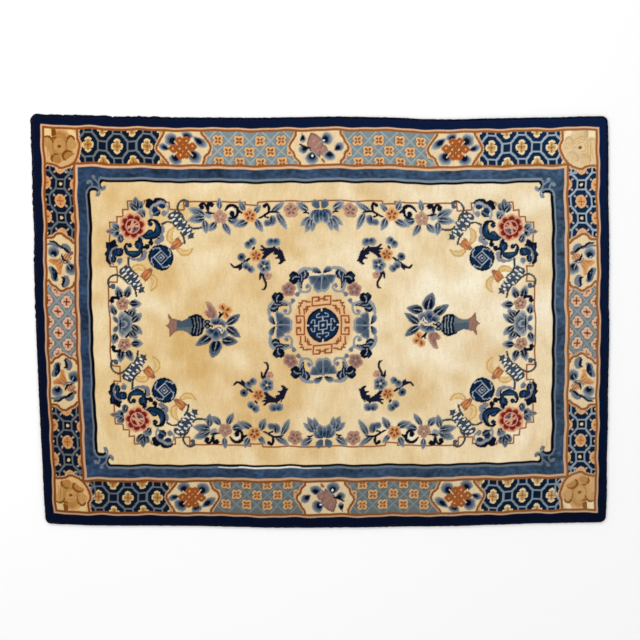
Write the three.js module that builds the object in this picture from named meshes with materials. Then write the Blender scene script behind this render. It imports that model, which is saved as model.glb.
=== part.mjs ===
// A hand-knotted wool rug lying flat: one piece, woven, knotted and overcast on one set of warps.
// Millimetres, +Z up, +X along the rug, +Y towards its back end, origin on the floor under its middle.
import * as THREE from 'three';

// Driving dimensions
const PILE_HEIGHT = 13;        // floor to the clipped tips of the pile
const CORD_HEIGHT = 9;         // the overcast cord round the edge is lower than the pile
const CORD_WIDTH = 9;
const PILE_SHOULDER = 10;      // how far in from the cord the pile takes to stand at full height
const CHANNEL_WIDTH = 6;       // clipped line between two colour bands
const CHANNEL_DEPTH = 2;
const CORNER_RADIUS = 30;      // worn round at the four corners
const INNER_CORNER_RADIUS = 4; // the bands turn their corners almost square

// How finely the outline is stepped
const STEPS_ALONG_LENGTH = 28;
const STEPS_ALONG_WIDTH = 20;
const STEPS_ROUND_CORNER = 4;

// The four corners, as they would be if the edges met square, anticlockwise from above
const CORNERS = [
  { name: 'front left', x: -1323, y: -978 },
  { name: 'front right', x: 1378, y: -971 },
  { name: 'back right', x: 1388, y: 989 },
  { name: 'back left', x: -1398, y: 999 },
];

// How far each edge wanders out (+) or in (-) from the straight line between its corners.
// `along` is the share of that edge, from its first corner to the next one.
const FRONT_EDGE = [
  { along: 0.10, out: 10 },
  { along: 0.18, out: 11 },
  { along: 0.26, out: 12 },
  { along: 0.34, out: 18 },
  { along: 0.42, out: 23 },
  { along: 0.57, out: 22 },
  { along: 0.65, out: 18 },
  { along: 0.73, out: 17 },
  { along: 0.81, out: 10 },
  { along: 0.89, out: 4 },
];
const RIGHT_EDGE = [
  { along: 0.05, out: 6 },
  { along: 0.16, out: 5 },
  { along: 0.24, out: 9 },
  { along: 0.32, out: 9 },
  { along: 0.48, out: 14 },
  { along: 0.56, out: 10 },
  { along: 0.64, out: 12 },
  { along: 0.71, out: 11 },
  { along: 0.79, out: 6 },
  { along: 0.95, out: 5 },
];
const BACK_EDGE = [
  { along: 0.04, out: -2 },
  { along: 0.09, out: -7 },
  { along: 0.19, out: -12 },
  { along: 0.27, out: -19 },
  { along: 0.31, out: -18 },
  { along: 0.38, out: -10 },
  { along: 0.46, out: -7 },
  { along: 0.61, out: -14 },
  { along: 0.72, out: -14 },
  { along: 0.80, out: -10 },
  { along: 0.84, out: -11 },
  { along: 0.89, out: -5 },
];
const LEFT_EDGE = [
  { along: 0.06, out: 2 },
  { along: 0.13, out: 1 },
  { along: 0.21, out: 5 },
  { along: 0.29, out: 3 },
  { along: 0.37, out: 10 },
  { along: 0.45, out: 11 },
  { along: 0.60, out: 10 },
  { along: 0.76, out: 8 },
  { along: 0.84, out: 4 },
  { along: 0.91, out: 4 },
];
const EDGES = [FRONT_EDGE, RIGHT_EDGE, BACK_EDGE, LEFT_EDGE];

// Where one colour band ends and the next begins, in from the rug's edge.
// The figured border is wider across the two long sides than across the two short ones.
const BANDS = [
  { name: 'plain edge band', longSides: 47, shortSides: 43 },
  { name: 'figured border and its guards', longSides: 247, shortSides: 218 },
  { name: 'blue band and its lines', longSides: 312, shortSides: 275 },
];

// The surface's height at a distance in from the edge: the overcast cord, then the pile's shoulder
const EDGE_SECTION = [
  { inward: 3, height: 0 },
  { inward: 1, height: 1.5 },
  { inward: 0, height: 0.45 * CORD_HEIGHT },
  { inward: 1, height: 0.8 * CORD_HEIGHT },
  { inward: 0.4 * CORD_WIDTH, height: CORD_HEIGHT },
  { inward: 0.75 * CORD_WIDTH, height: 0.9 * CORD_HEIGHT },
  { inward: CORD_WIDTH, height: 0.75 * CORD_HEIGHT },
  { inward: CORD_WIDTH + 0.2 * PILE_SHOULDER, height: 0.8 * PILE_HEIGHT },
  { inward: CORD_WIDTH + 0.5 * PILE_SHOULDER, height: 0.94 * PILE_HEIGHT },
  { inward: CORD_WIDTH + PILE_SHOULDER, height: PILE_HEIGHT },
];

// A row of the edge section, which is the same on all four sides
function allRound({ inward, height }) {
  return { inLong: inward, inShort: inward, height };
}

// The three heights across one clipped channel
function channelSection(band) {
  const half = CHANNEL_WIDTH / 2;
  return [
    { inLong: band.longSides - half, inShort: band.shortSides - half, height: PILE_HEIGHT },
    { inLong: band.longSides, inShort: band.shortSides, height: PILE_HEIGHT - CHANNEL_DEPTH },
    { inLong: band.longSides + half, inShort: band.shortSides + half, height: PILE_HEIGHT },
  ];
}

const SECTION = [...EDGE_SECTION.map(allRound), ...BANDS.flatMap(channelSection)];

// The edge's wander at a share of its length, eased from row to row
function wander(edge, share) {
  const rows = [{ along: 0, out: 0 }, ...edge, { along: 1, out: 0 }];
  const next = Math.max(1, rows.findIndex((row) => row.along >= share));
  const before = rows[next - 1];
  const after = rows[next];
  const t = (share - before.along) / (after.along - before.along);
  return THREE.MathUtils.lerp(before.out, after.out, t * t * (3 - 2 * t));
}

// Which edges run along the rug's length: the front and the back
const isLongSide = (index) => index % 2 === 0;

// One edge's straight line moved in from the outline
function edgeLine(index, row) {
  const from = new THREE.Vector2(CORNERS[index].x, CORNERS[index].y);
  const to = new THREE.Vector2(CORNERS[(index + 1) % 4].x, CORNERS[(index + 1) % 4].y);
  const along = to.clone().sub(from).normalize();
  const outward = new THREE.Vector2(along.y, -along.x);
  const inset = isLongSide(index) ? row.inLong : row.inShort;
  return { point: from.addScaledVector(outward, -inset), along, outward };
}

// Where two edge lines cross
function crossing(a, b) {
  const gap = b.point.clone().sub(a.point);
  const t = gap.cross(b.along) / a.along.cross(b.along);
  return a.point.clone().addScaledVector(a.along, t);
}

// One closed loop round the rug at a row of the section, anticlockwise from above
function loopAt(row) {
  const lines = CORNERS.map((_, index) => edgeLine(index, row));
  const corners = lines.map((line, index) => crossing(lines[(index + 3) % 4], line));
  const radius = Math.max(CORNER_RADIUS - row.inLong, INNER_CORNER_RADIUS);
  const points = [];
  lines.forEach((line, index) => {
    const from = corners[index];
    const to = corners[(index + 1) % 4];
    const length = from.distanceTo(to);
    const steps = isLongSide(index) ? STEPS_ALONG_LENGTH : STEPS_ALONG_WIDTH;
    for (let step = 0; step <= steps; step += 1) {
      const share = (radius + (length - 2 * radius) * (step / steps)) / length;
      const point = from.clone().lerp(to, share);
      points.push(point.addScaledVector(line.outward, wander(EDGES[index], share)));
    }
    points.push(...cornerArc(line, lines[(index + 1) % 4], to, radius));
  });
  return points.map((point) => new THREE.Vector3(point.x, point.y, row.height));
}

// The points round one corner, between the two edges' own end points
function cornerArc(line, nextLine, corner, radius) {
  const centre = corner.clone();
  centre.addScaledVector(line.along, -radius).addScaledVector(nextLine.along, radius);
  const points = [];
  for (let step = 1; step < STEPS_ROUND_CORNER; step += 1) {
    const turn = (step / STEPS_ROUND_CORNER) * (Math.PI / 2);
    const point = centre.clone();
    point.addScaledVector(line.outward, radius * Math.cos(turn));
    point.addScaledVector(nextLine.outward, radius * Math.sin(turn));
    points.push(point);
  }
  return points;
}

// A closed skin through the loops, capped flat at the floor and at the middle of the pile
function skinThrough(loops) {
  const count = loops[0].length;
  const positions = loops.flat().flatMap((point) => [point.x, point.y, point.z]);
  const faces = [];
  for (let ring = 0; ring + 1 < loops.length; ring += 1) {
    for (let i = 0; i < count; i += 1) {
      const j = (i + 1) % count;
      const low = ring * count;
      const high = low + count;
      faces.push(low + i, low + j, high + j, low + i, high + j, high + i);
    }
  }
  const flat = (loop) => loop.map((point) => new THREE.Vector2(point.x, point.y));
  const top = (loops.length - 1) * count;
  THREE.ShapeUtils.triangulateShape(flat(loops.at(-1)), []).forEach(([a, b, c]) => {
    faces.push(top + a, top + b, top + c);
  });
  THREE.ShapeUtils.triangulateShape(flat(loops[0]), []).forEach(([a, b, c]) => {
    faces.push(a, c, b);
  });
  const geometry = new THREE.BufferGeometry();
  geometry.setAttribute('position', new THREE.Float32BufferAttribute(positions, 3));
  geometry.setIndex(faces);
  geometry.computeVertexNormals();
  return geometry;
}

// Dyed wool pile: the ground shade of the middle field stands for the whole piece
function woolPile() {
  return new THREE.MeshStandardMaterial({ color: 0xe6cb98, roughness: 0.95, metalness: 0 });
}

const rug = new THREE.Mesh(skinThrough(SECTION.map(loopAt)), woolPile());
rug.name = 'rug';

// The origin lies under the middle of the rug's own box
rug.geometry.computeBoundingBox();
const middle = rug.geometry.boundingBox.getCenter(new THREE.Vector3());
rug.position.set(-middle.x, -middle.y, 0);

const model = new THREE.Group();
model.add(rug);

export default model;
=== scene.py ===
"""A hand-knotted wool rug, laid flat: its pile knot by knot, its overcast edge and its woven back."""
import math

import bpy
import numpy as np
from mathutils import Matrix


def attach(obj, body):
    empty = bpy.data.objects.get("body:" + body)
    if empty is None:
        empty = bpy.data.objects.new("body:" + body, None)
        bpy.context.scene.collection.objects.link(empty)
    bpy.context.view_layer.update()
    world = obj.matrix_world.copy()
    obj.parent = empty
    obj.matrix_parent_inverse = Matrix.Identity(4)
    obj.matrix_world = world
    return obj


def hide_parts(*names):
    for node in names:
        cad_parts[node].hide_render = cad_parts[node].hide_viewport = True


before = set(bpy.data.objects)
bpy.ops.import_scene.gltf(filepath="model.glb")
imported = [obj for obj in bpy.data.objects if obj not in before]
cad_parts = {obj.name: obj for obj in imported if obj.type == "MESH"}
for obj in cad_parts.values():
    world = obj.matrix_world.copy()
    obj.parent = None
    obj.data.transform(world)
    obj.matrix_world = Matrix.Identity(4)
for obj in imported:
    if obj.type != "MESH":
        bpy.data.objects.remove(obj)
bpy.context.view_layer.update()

MM = 0.001

# Sizes of the weave, in millimetres on the weaver's chart, which is drawn square and even
KNOT = 3.7                  # from one knot to the next
HALF_LENGTH = 1383          # the chart from its middle to the edge of the rug
HALF_WIDTH = 991
CORD = 8                    # the overcast cord takes this much of the edge
COLUMNS = 2 * round((HALF_LENGTH - CORD) / KNOT)
ROWS = 2 * round((HALF_WIDTH - CORD) / KNOT)

# Bands of the border, as distances from the middle of the chart: across the long sides, the short sides
FIELD = (1108, 677)
PALE_LINE = (1120, 688)
BLUE_BAND = (1128, 698)
INNER_GUARD = (1168, 743)
INNER_RUST = (1180, 755)
FIGURED = (1190, 766)
OUTER_RUST = (1321, 920)
OUTER_GUARD = (1333.5, 933.5)
EDGE_BAND = (1340, 940)

# Yarns: the shade at the left and at the right of the rug, and for some a painted sheen: how much paler
# each of the two is painted at the back end, where the eye looks into the nap, and darker at the front
YARNS = {
    "field": ("#E3C58F", "#F2DDB6"),
    "edge": ("#0E142A", "#0E1A36", 0.08, 0.28),
    "black": ("#0C0B12", "#0C0E1A"),
    "navy": ("#0F1828", "#122640", 0.0, 0.25),
    "ink": ("#0E111F", "#11182C", 0.1, 0.1),
    "deep": ("#15294A", "#1B3556", 0.0, 0.15),
    "blue": ("#2B3C55", "#3C5066", 0.0, 0.1),
    "blue_pale": ("#2F4864", "#3F5A76", 0.0, 0.12),
    "blue_dark": ("#1C2C42", "#2A3B50", 0.0, 0.12),
    "steel": ("#616769", "#9CABB6", 0.03, 0.14),
    "lattice": ("#6F7878", "#747E7F", 0.2, 0.12),
    "lattice_line": ("#878F8F", "#8D9797", 0.2, 0.12),
    "pale_line": ("#6C757E", "#76838E", 0.0, 0.2),
    "cream": ("#DDC191", "#E8D0A8", 0.04, 0.04),
    "white": ("#ECE6D6", "#F2EEE2"),
    "pink": ("#CDA37E", "#D8B08C", 0.08, 0.08),
    "rust": ("#84481E", "#986032", 0.1, 0.08),
    "tan_line": ("#935C34", "#AA7344", 0.1, 0.1),
    "gold": ("#DDBE84", "#F0DDB4", 0.05, 0.05),
    "gold_dark": ("#AC8044", "#CCA56C", 0.05, 0.05),
    "rosette": ("#AC783E", "#B2844C"),
    "rosette_line": ("#7C4618", "#8A5426"),
    "peach": ("#D69C7C", "#DDA586"),
    "rose": ("#D49080", "#DC9C8A"),
    "claret": ("#6A1C12", "#742418"),
    "mauve": ("#936C62", "#A17A6E", 0.08, 0.08),
    "mauve_dark": ("#78534A", "#886258", 0.05, 0.05),
    "orange": ("#C4834C", "#D59C66", 0.08, 0.08),
    "orange_pale": ("#D6A06A", "#E4B686", 0.05, 0.05),
    "umber": ("#74310F", "#86431F", 0.05, 0.05),
    "leaf": ("#868A8C", "#9CA2A7", 0.1, 0.12),
    "leaf_pale": ("#A6A49E", "#B6B6B2", 0.1, 0.1),
    "leaf_blue": ("#465060", "#526070", 0.05, 0.05),
    "smoke": ("#646B73", "#757E88", 0.1, 0.12),
    "lilac": ("#72737D", "#8A8C93", 0.08, 0.08),
    "scroll": ("#363D43", "#444D55", 0.05, 0.05),
    "yellow": ("#CBA052", "#D8B06C"),
    "yellow_pale": ("#DFBE88", "#E7CB9A"),
    "coral": ("#C67A4A", "#CE8454"),
    "mauve_pale": ("#AE8570", "#B5937C", 0.09, 0.09),
    "pink_pale": ("#B09A8C", "#C2AEA2", 0.05, 0.05),
    "petal_gold": ("#C48F58", "#D7AA76", 0.08, 0.08),
    "petal_pale": ("#D3A286", "#DDB396", 0.05, 0.05),
    "lattice_shade": ("#565E60", "#5E666A", 0.2, 0.12),
    "rosette_pale": ("#C08F56", "#C29866"),
    "umber_pale": ("#8E4A22", "#9C5A32"),
    "rose_pale": ("#C48C74", "#D09C86"),
    "steel_dark": ("#4E5C6C", "#5E6C7C", 0.05, 0.05),
    "navy_bright": ("#0F2644", "#15304F", 0.1, 0.1),
    "teal": ("#35435A", "#45546A", 0.05, 0.05),
    "branch": ("#181926", "#1C203A"),
    "key_line": ("#94562F", "#A2643A"),
    "fret_line": ("#935022", "#9B5C2E"),
    "medallion": ("#E2B080", "#ECC090"),
    "vase_grey": ("#5E6666", "#6E787A", 0.05, 0.05),
    "vase_blue": ("#435462", "#52646F", 0.05, 0.05),
    "deep_teal": ("#14304A", "#1C3C58", 0.05, 0.05),
    "brick": ("#9A4630", "#A04C34"),
    "medallion_pale": ("#E2BE8E", "#EBCBA0"),
    "knot_rust": ("#984E1E", "#A65C2C", 0.06, 0.06),
    "rosette_light": ("#D6AA72", "#D0A878"),
    "petal_rim": ("#D8A870", "#E2B884", 0.07, 0.07),
    "disc_line": ("#A9B0B5", "#B4BBC0"),
    "petal_rose": ("#DCAE90", "#E2B898", 0.05, 0.05),
    "olive": ("#6E4814", "#7E5A2A"),
    "crown": ("#8A6049", "#96705C"),
}
YARN_NUMBER = {name: number for number, name in enumerate(YARNS)}

# The chart itself: one yarn number for each knot
ACROSS = (np.arange(COLUMNS) - (COLUMNS - 1) / 2) * KNOT
UP = (np.arange(ROWS) - (ROWS - 1) / 2) * KNOT
CHART = np.zeros((ROWS, COLUMNS), np.uint8)


class Place:
    """Where a figure is drawn on the chart: moved, turned and mirrored, inside another place or not."""

    def __init__(self, x=0, y=0, turn=0, stretch=(1, 1), within=None):
        c, s = math.cos(math.radians(turn)), math.sin(math.radians(turn))
        self.grid = np.array([[c, -s], [s, c]]) @ np.diag(stretch)
        self.origin = np.array([x, y], float)
        if within is not None:
            self.origin = within.grid @ self.origin + within.origin
            self.grid = within.grid @ self.grid
        self.size = abs(np.linalg.det(self.grid)) ** 0.5

    def of(self, points):
        """Points of this place as points of the chart."""
        return np.asarray(points, float) @ self.grid.T + self.origin

    def at(self, x, y, turn=0, stretch=(1, 1)):
        """A place inside this one."""
        return Place(x, y, turn, stretch, self)


WHOLE = Place()
QUARTERS = [Place(stretch=(sx, sy)) for sx in (1, -1) for sy in (1, -1)]
ENDS = [WHOLE, Place(stretch=(-1, 1))]
CROSSWISE = (0, 90, 180, 270)
CURVE_STEPS = 5             # points from one given point of a curve to the next
OVAL_SIDES = 28
LEAF_STEPS = 22             # points along each side of a leaf


def bent(points, closed=False):
    """A smooth run of points through the given ones."""
    p = np.asarray(points, float)
    before = np.roll(p, 1, 0) if closed else np.vstack([2 * p[0] - p[1], p[:-1]])
    after = np.roll(p, -1, 0) if closed else np.vstack([p[1:], 2 * p[-1] - p[-2]])
    beyond = np.roll(p, -2, 0) if closed else np.vstack([p[2:], after[-1:], after[-1:]])
    t = (np.arange(CURVE_STEPS) / CURVE_STEPS)[:, None]
    spans = len(p) if closed else len(p) - 1
    run = [
        0.5 * (2 * p[i] + (after[i] - before[i]) * t
               + (2 * before[i] - 5 * p[i] + 4 * after[i] - beyond[i]) * t ** 2
               + (3 * p[i] - before[i] - 3 * after[i] + beyond[i]) * t ** 3)
        for i in range(spans)
    ]
    return np.vstack(run if closed else run + [p[-1:]])


def window(low, high):
    """The rows and columns of knots between two corners of the chart."""
    columns = slice(np.searchsorted(ACROSS, low[0]), np.searchsorted(ACROSS, high[0], "right"))
    rows = slice(np.searchsorted(UP, low[1]), np.searchsorted(UP, high[1], "right"))
    return rows, columns


def knot(rows, columns, inside, yarn):
    """Gives one yarn to the knots of a window that lie inside."""
    CHART[rows, columns][inside] = YARN_NUMBER[yarn]


def fill(place, yarn, points, rounded=True):
    """Knots one yarn inside an outline."""
    outline = place.of(bent(points, closed=True) if rounded else points)
    rows, columns = window(outline.min(0), outline.max(0))
    x, y = ACROSS[columns][None, :], UP[rows][:, None]
    inside = np.zeros((y.shape[0], x.shape[1]), bool)
    for (ax, ay), (bx, by) in zip(outline, np.roll(outline, -1, 0)):
        if ay != by:
            inside ^= ((ay > y) != (by > y)) & (x < (bx - ax) * (y - ay) / (by - ay) + ax)
    knot(rows, columns, inside, yarn)


def line(place, yarn, width, points, rounded=True):
    """Knots one yarn along a path: one width, or several shared out along it."""
    path = place.of(bent(points) if rounded else points)
    widths = np.atleast_1d(np.asarray(width, float)) * place.size / 2
    reach = np.interp(np.linspace(0, 1, len(path)), np.linspace(0, 1, len(widths)), widths)
    for a, b, ra, rb in zip(path[:-1], path[1:], reach[:-1], reach[1:]):
        most = max(ra, rb)
        rows, columns = window(np.minimum(a, b) - most, np.maximum(a, b) + most)
        x, y = ACROSS[columns][None, :] - a[0], UP[rows][:, None] - a[1]
        along = b - a
        t = np.clip((x * along[0] + y * along[1]) / max(along @ along, 1e-9), 0, 1)
        inside = np.hypot(x - t * along[0], y - t * along[1]) <= ra + (rb - ra) * t
        knot(rows, columns, inside, yarn)


def oval(place, yarn, x, y, across, up=None, turn=0):
    """Knots one yarn inside an oval of these half sizes."""
    ring = np.linspace(0, 2 * math.pi, OVAL_SIDES, endpoint=False)
    spot = place.at(x, y, turn)
    fill(spot, yarn, np.c_[across * np.cos(ring), (up or across) * np.sin(ring)], rounded=False)


def lines(place, yarn, *runs, rounded=True):
    """Paths of one yarn, each given as its widths and its points."""
    for width, points in runs:
        line(place, yarn, width, points, rounded)


def fills(place, yarn, *outlines):
    for outline in outlines:
        fill(place, yarn, outline)


def ovals(place, yarn, *rows):
    """Ovals of one yarn, each given as its middle and its half sizes."""
    for row in rows:
        oval(place, yarn, *row)


def box(place, yarn, x0, y0, x1, y1):
    fill(place, yarn, [(x0, y0), (x1, y0), (x1, y1), (x0, y1)], rounded=False)


def ring_of(place, count, radius, start=0):
    """Places set round a ring, each turned to face outwards."""
    for i in range(count):
        angle = start + 360 * i / count
        x = radius * math.cos(math.radians(angle))
        y = radius * math.sin(math.radians(angle))
        yield place.at(x, y, angle)


def frame_band(yarn, outer, inner):
    """Knots one yarn between two rectangles, given by their half sizes."""
    for side in (1, -1):
        box(WHOLE, yarn, -outer[0], inner[1] * side, outer[0], outer[1] * side)
        box(WHOLE, yarn, inner[0] * side, -inner[1], outer[0] * side, inner[1])


# Shades of a leaf or petal, from its rim to its core
GREY_LEAF = ("leaf", "smoke", "leaf_blue", "ink")
LOTUS_PETAL = ("leaf", "steel_dark", "leaf_blue", "deep_teal")
DARK_HEARTED_LEAF = ("leaf", "smoke", "ink", "ink")
SLATE_LEAF = ("smoke", "leaf_blue", "ink", "ink")

SHADE_STEP = 0.17           # how much smaller each shade is than the one round it
VEIN = 5                    # width of a leaf's middle vein
SIDE_LEAF_SHORTER = 0.22    # the outermost leaves of a fan are shorter by this share


def leaf(place, x, y, turn, length, width, shades, bend=0, widest=0.5, blunt=0.8, core=0.07, vein=None):
    """A leaf or petal from its foot at x, y, each shade inside the one before, drawn in to its core."""
    t = np.linspace(0, 1, LEAF_STEPS)
    half = width / 2 * np.sin(math.pi * t ** (math.log(0.5) / math.log(widest))) ** blunt
    spine = bend * length * t * t
    outline = np.r_[np.c_[length * t, spine + half], np.c_[length * t, spine - half][::-1]]
    heart = np.array([core * length, bend * length * core * core])
    spot = place.at(x, y, turn)
    for step, yarn in enumerate(shades):
        fill(spot, yarn, heart + (outline - heart) * (1 - SHADE_STEP * step), rounded=False)
    if vein:
        run = np.array([0.04, 0.35, 0.7]) * length
        line(spot, vein, (VEIN, VEIN, VEIN / 2), np.c_[run, bend * run * run / length])


def fan(place, x, y, turn, spread, count, length, width, shades, **how):
    """Leaves from one foot, the side ones shorter."""
    for i in range(count):
        side = 2 * i / (count - 1) - 1
        reach = length * (1 - SIDE_LEAF_SHORTER * abs(side))
        leaf(place, x, y, turn + side * spread / 2, reach, width, shades, **how)


def leaves(place, shades, *rows, **how):
    """Leaves alike, each given as its foot, turn, length and width, and its bend if it has one."""
    for x, y, turn, length, width, *bend in rows:
        leaf(place, x, y, turn, length, width, shades, *bend, **how)


def heart_blossom(place, x, y, turn, reach, shades):
    """Two round petals side by side, darkest where they meet."""
    spot = place.at(x, y, turn)
    for step, yarn in enumerate(shades):
        share = 1 - 0.24 * step
        for side in (-1, 1):
            oval(spot, yarn, 0.1 * reach * step, side * 0.72 * reach * (1 - 0.12 * step), reach * share)


def rosette(place, x, y, radius, petals, turn, rim, inner, marks, heart):
    """A round open flower with one dark mark on each petal."""
    spot = place.at(x, y, turn)
    for yarn, share in ((rim, 1), (inner, 0.8)):
        oval(spot, yarn, 0, 0, 0.66 * radius * share)
        for petal in ring_of(spot, petals, 0.52 * radius * share):
            oval(petal, yarn, 0, 0, 0.48 * radius * share)
    for petal in ring_of(spot, petals, 0.1 * radius):
        leaf(petal, 0, 0, 0, 0.55 * radius, 0.3 * radius, (marks,), widest=0.6)
    oval(spot, heart, 0, 0, 0.17 * radius)


# Borders

LATTICE_LINE = 7.8          # width of the octagons' outlines
OCTAGON = [(23, 57), (51, 24), (51, -24), (23, -57), (-23, -57), (-51, -24), (-51, 24), (-23, 57), (23, 57)]
OCTAGON_PITCH = (72, 80)
OCTAGONS_ALONG = (968, 848)     # the middle of a run of octagons on a long side, and on a short side
OCTAGONS_ACROSS = (1252, 583)
DIAMOND_HEIGHT = 51.5
DIAMONDS_ALONG = (284, 879)     # the diamond that a run is counted from, on a long side and on a short side
DIAMONDS_ACROSS = 1228
THORNS = (42, 138, 222, 318)    # the turns of the four pale strokes from an octagon's corners
OUTERMOST_FLOWER = 900      # the lattice has no flowers beyond this


def cardinal_flower(place, across, up, girth, rim, inner, marks, thick=6):
    """Four petals crosswise, grown together at their feet."""
    for yarn, share in ((rim, 1), (inner, 0.74)):
        oval(place, yarn, 0, 0, 0.62 * across * share, 0.62 * up * share)
        for turn, reach in zip(CROSSWISE, (across, up) * 2):
            leaf(place, 0, 0, turn, reach * share, girth * share, (yarn,), widest=0.66, blunt=0.7)
    for turn, reach in zip(CROSSWISE, (across, up) * 2):
        mark = [(0.05 * reach, 0), (0.55 * reach, 0)]
        line(place.at(0, 0, turn), marks, (thick, thick, thick / 2), mark, rounded=False)


def octagon_run(centre, columns, rows, thorns):
    """Octagons that share their slanted sides, with a square between each four."""
    for i in columns:
        for j in rows:
            spot = WHOLE.at(centre[0] + OCTAGON_PITCH[0] * i, centre[1] + OCTAGON_PITCH[1] * j)
            if (i + j) % 2 == 0:
                line(spot, "steel", LATTICE_LINE, OCTAGON, rounded=False)
    for i in columns:
        for j in rows:
            spot = WHOLE.at(centre[0] + OCTAGON_PITCH[0] * i, centre[1] + OCTAGON_PITCH[1] * j)
            if (i + j) % 2 == 0 and thorns:
                for turn in THORNS:
                    line(spot.at(0, 0, turn), "pink_pale", (4, 9), [(20, 0), (39, 0)], rounded=False)
                cardinal_flower(spot, 27, 32, 34, "orange_pale", "orange", "umber_pale")
            elif (i + j) % 2 == 0:
                cardinal_flower(spot, 29, 37, 31, "gold", "gold_dark", "umber_pale")
            elif thorns:
                box(spot, "black", -14, -14, 14, 14)
                oval(spot, "cream", 0, 0, 7.5)


def diamond_run(centre, half_pitch, columns, rows, slanted):
    """A lattice of diamonds with a small flower in each."""
    def spot(i, j):
        return WHOLE.at(centre[0] + half_pitch * i, centre[1] + DIAMOND_HEIGHT * j)

    for i in columns:
        for j in rows:
            if (i + j) % 2:
                for rise in (DIAMOND_HEIGHT, -DIAMOND_HEIGHT):
                    line(spot(i, j), "lattice_line", 8, [(0, 0), (half_pitch, rise)], rounded=False)
    for i in columns:
        for j in rows:
            if (i + j) % 2 == 0 and slanted:
                if abs(spot(i, j).origin[1]) < OUTERMOST_FLOWER:
                    lattice_flower(spot(i, j), 26)
            elif (i + j) % 2 == 0:
                cardinal_flower(spot(i, j), 30, 34, 34, "lattice_shade", "lattice_shade", "lattice_shade")
                cardinal_flower(spot(i, j), 27, 31, 31, "petal_rose", "petal_pale", "umber", 9)


def lattice_flower(spot, reach):
    """Four round petals set aslant."""
    for yarn, out, size in (
        ("lattice_shade", 0.62, 0.6), ("petal_rim", 0.6, 0.5), ("petal_gold", 0.56, 0.34),
    ):
        oval(spot, yarn, 0, 0, 0.8 * size * reach + 4)
        for petal in ring_of(spot, 4, out * reach, 45):
            oval(petal, yarn, 0, 0, size * reach)
    for petal in ring_of(spot, 4, 0.42 * reach, 45):
        oval(petal, "umber_pale", 0, 0, 0.32 * reach, 0.2 * reach)
    oval(spot, "pink", 0, 0, 0.14 * reach)


def cartouche(place, outline, ground):
    """A bracket-shaped panel with a rust line and a pink one outside it."""
    path = np.vstack([bent(outline, closed=True), outline[:1]])
    line(place, "pink", 22, path, rounded=False)
    fill(place, ground, outline)
    line(place, "rust", 11, path, rounded=False)


KNOT_PANEL = [
    (68, 96), (86, 70), (108, 42), (126, 16), (129, -4), (118, -26), (100, -40), (92, -62), (64, -96),
    (-58, -96), (-84, -66), (-106, -36), (-126, -12), (-128, 6), (-116, 32), (-98, 62), (-72, 96),
]
MIDDLE_PANEL = [
    (90, 100), (100, 68), (116, 48), (122, 30), (138, 12), (138, -6), (122, -24), (116, -46), (98, -64),
    (84, -100), (-84, -100), (-98, -64), (-117, -46), (-124, -20), (-139, -2), (-140, 16), (-124, 44),
    (-112, 66), (-92, 100),
]
SIDE_PANEL = [
    (-80, 92), (-66, 110), (-40, 114), (-24, 132), (0, 138), (22, 122), (46, 108), (60, 92), (90, 88),
    (90, -82), (66, -92), (52, -116), (26, -124), (4, -137), (-14, -130), (-28, -118), (-44, -112),
    (-62, -90), (-90, -84),
]
CORNER_PANEL = [
    (-90, 96), (68, 96), (82, 66), (83, 38), (95, 10), (90, -14), (82, -38), (70, -62), (50, -84), (26, -96),
    (-6, -104), (-24, -94), (-46, -88), (-64, -86), (-90, -72),
]


def endless_knot(place):
    """The interlaced knot: loops round a woven block, with the ground showing through it."""
    for x, y in ((-50, -1), (44, 6), (-20, 36), (13, 36), (-17, -32), (12, -31)):
        fill(place.at(x, y, 45), "knot_rust", [(-15, -15), (15, -15), (15, 15), (-15, 15)])
    fill(place.at(-3, 1, 45), "knot_rust", [(-36, -36), (36, -36), (36, 36), (-36, 36)], rounded=False)
    for slope in (45, -45):
        for shift in (-24, -8, 8, 24):
            line(place.at(-3, 1, slope), "umber_pale", 4, [(-34, shift), (34, shift)], rounded=False)
    for x, y, reach in (
        (-20, 36, 5), (13, 35, 5), (-3, 17, 4), (-50, -1, 5), (-19, 0, 6), (13, 2, 5.5), (43, 7, 5.5),
        (-3, -15, 4), (-16, -31, 5.5), (12, -29, 4),
    ):
        oval(place, "petal_rim", x, y, 0.85 * reach)
    for run in ([(-44, 34), (-28, 16)], [(-50, -22), (-48, -34), (-32, -18)], [(40, 42), (24, 22)],
                [(24, -14), (42, -38)]):
        line(place, "cream", 5, run, rounded=False)


def draw_knot_panel(place):
    spot = place.at(-650, 843)
    cartouche(spot, KNOT_PANEL, "cream")
    leaves(
        spot, GREY_LEAF, (-30, 16, 140, 72, 66), (-66, -8, 158, 58, 34), (-38, -18, 262, 64, 64),
        (10, 40, 72, 42, 58), (44, 54, -36, 84, 42), (34, -8, -64, 72, 66), widest=0.58, blunt=0.6,
        core=0.3,
    )
    endless_knot(spot)


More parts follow.
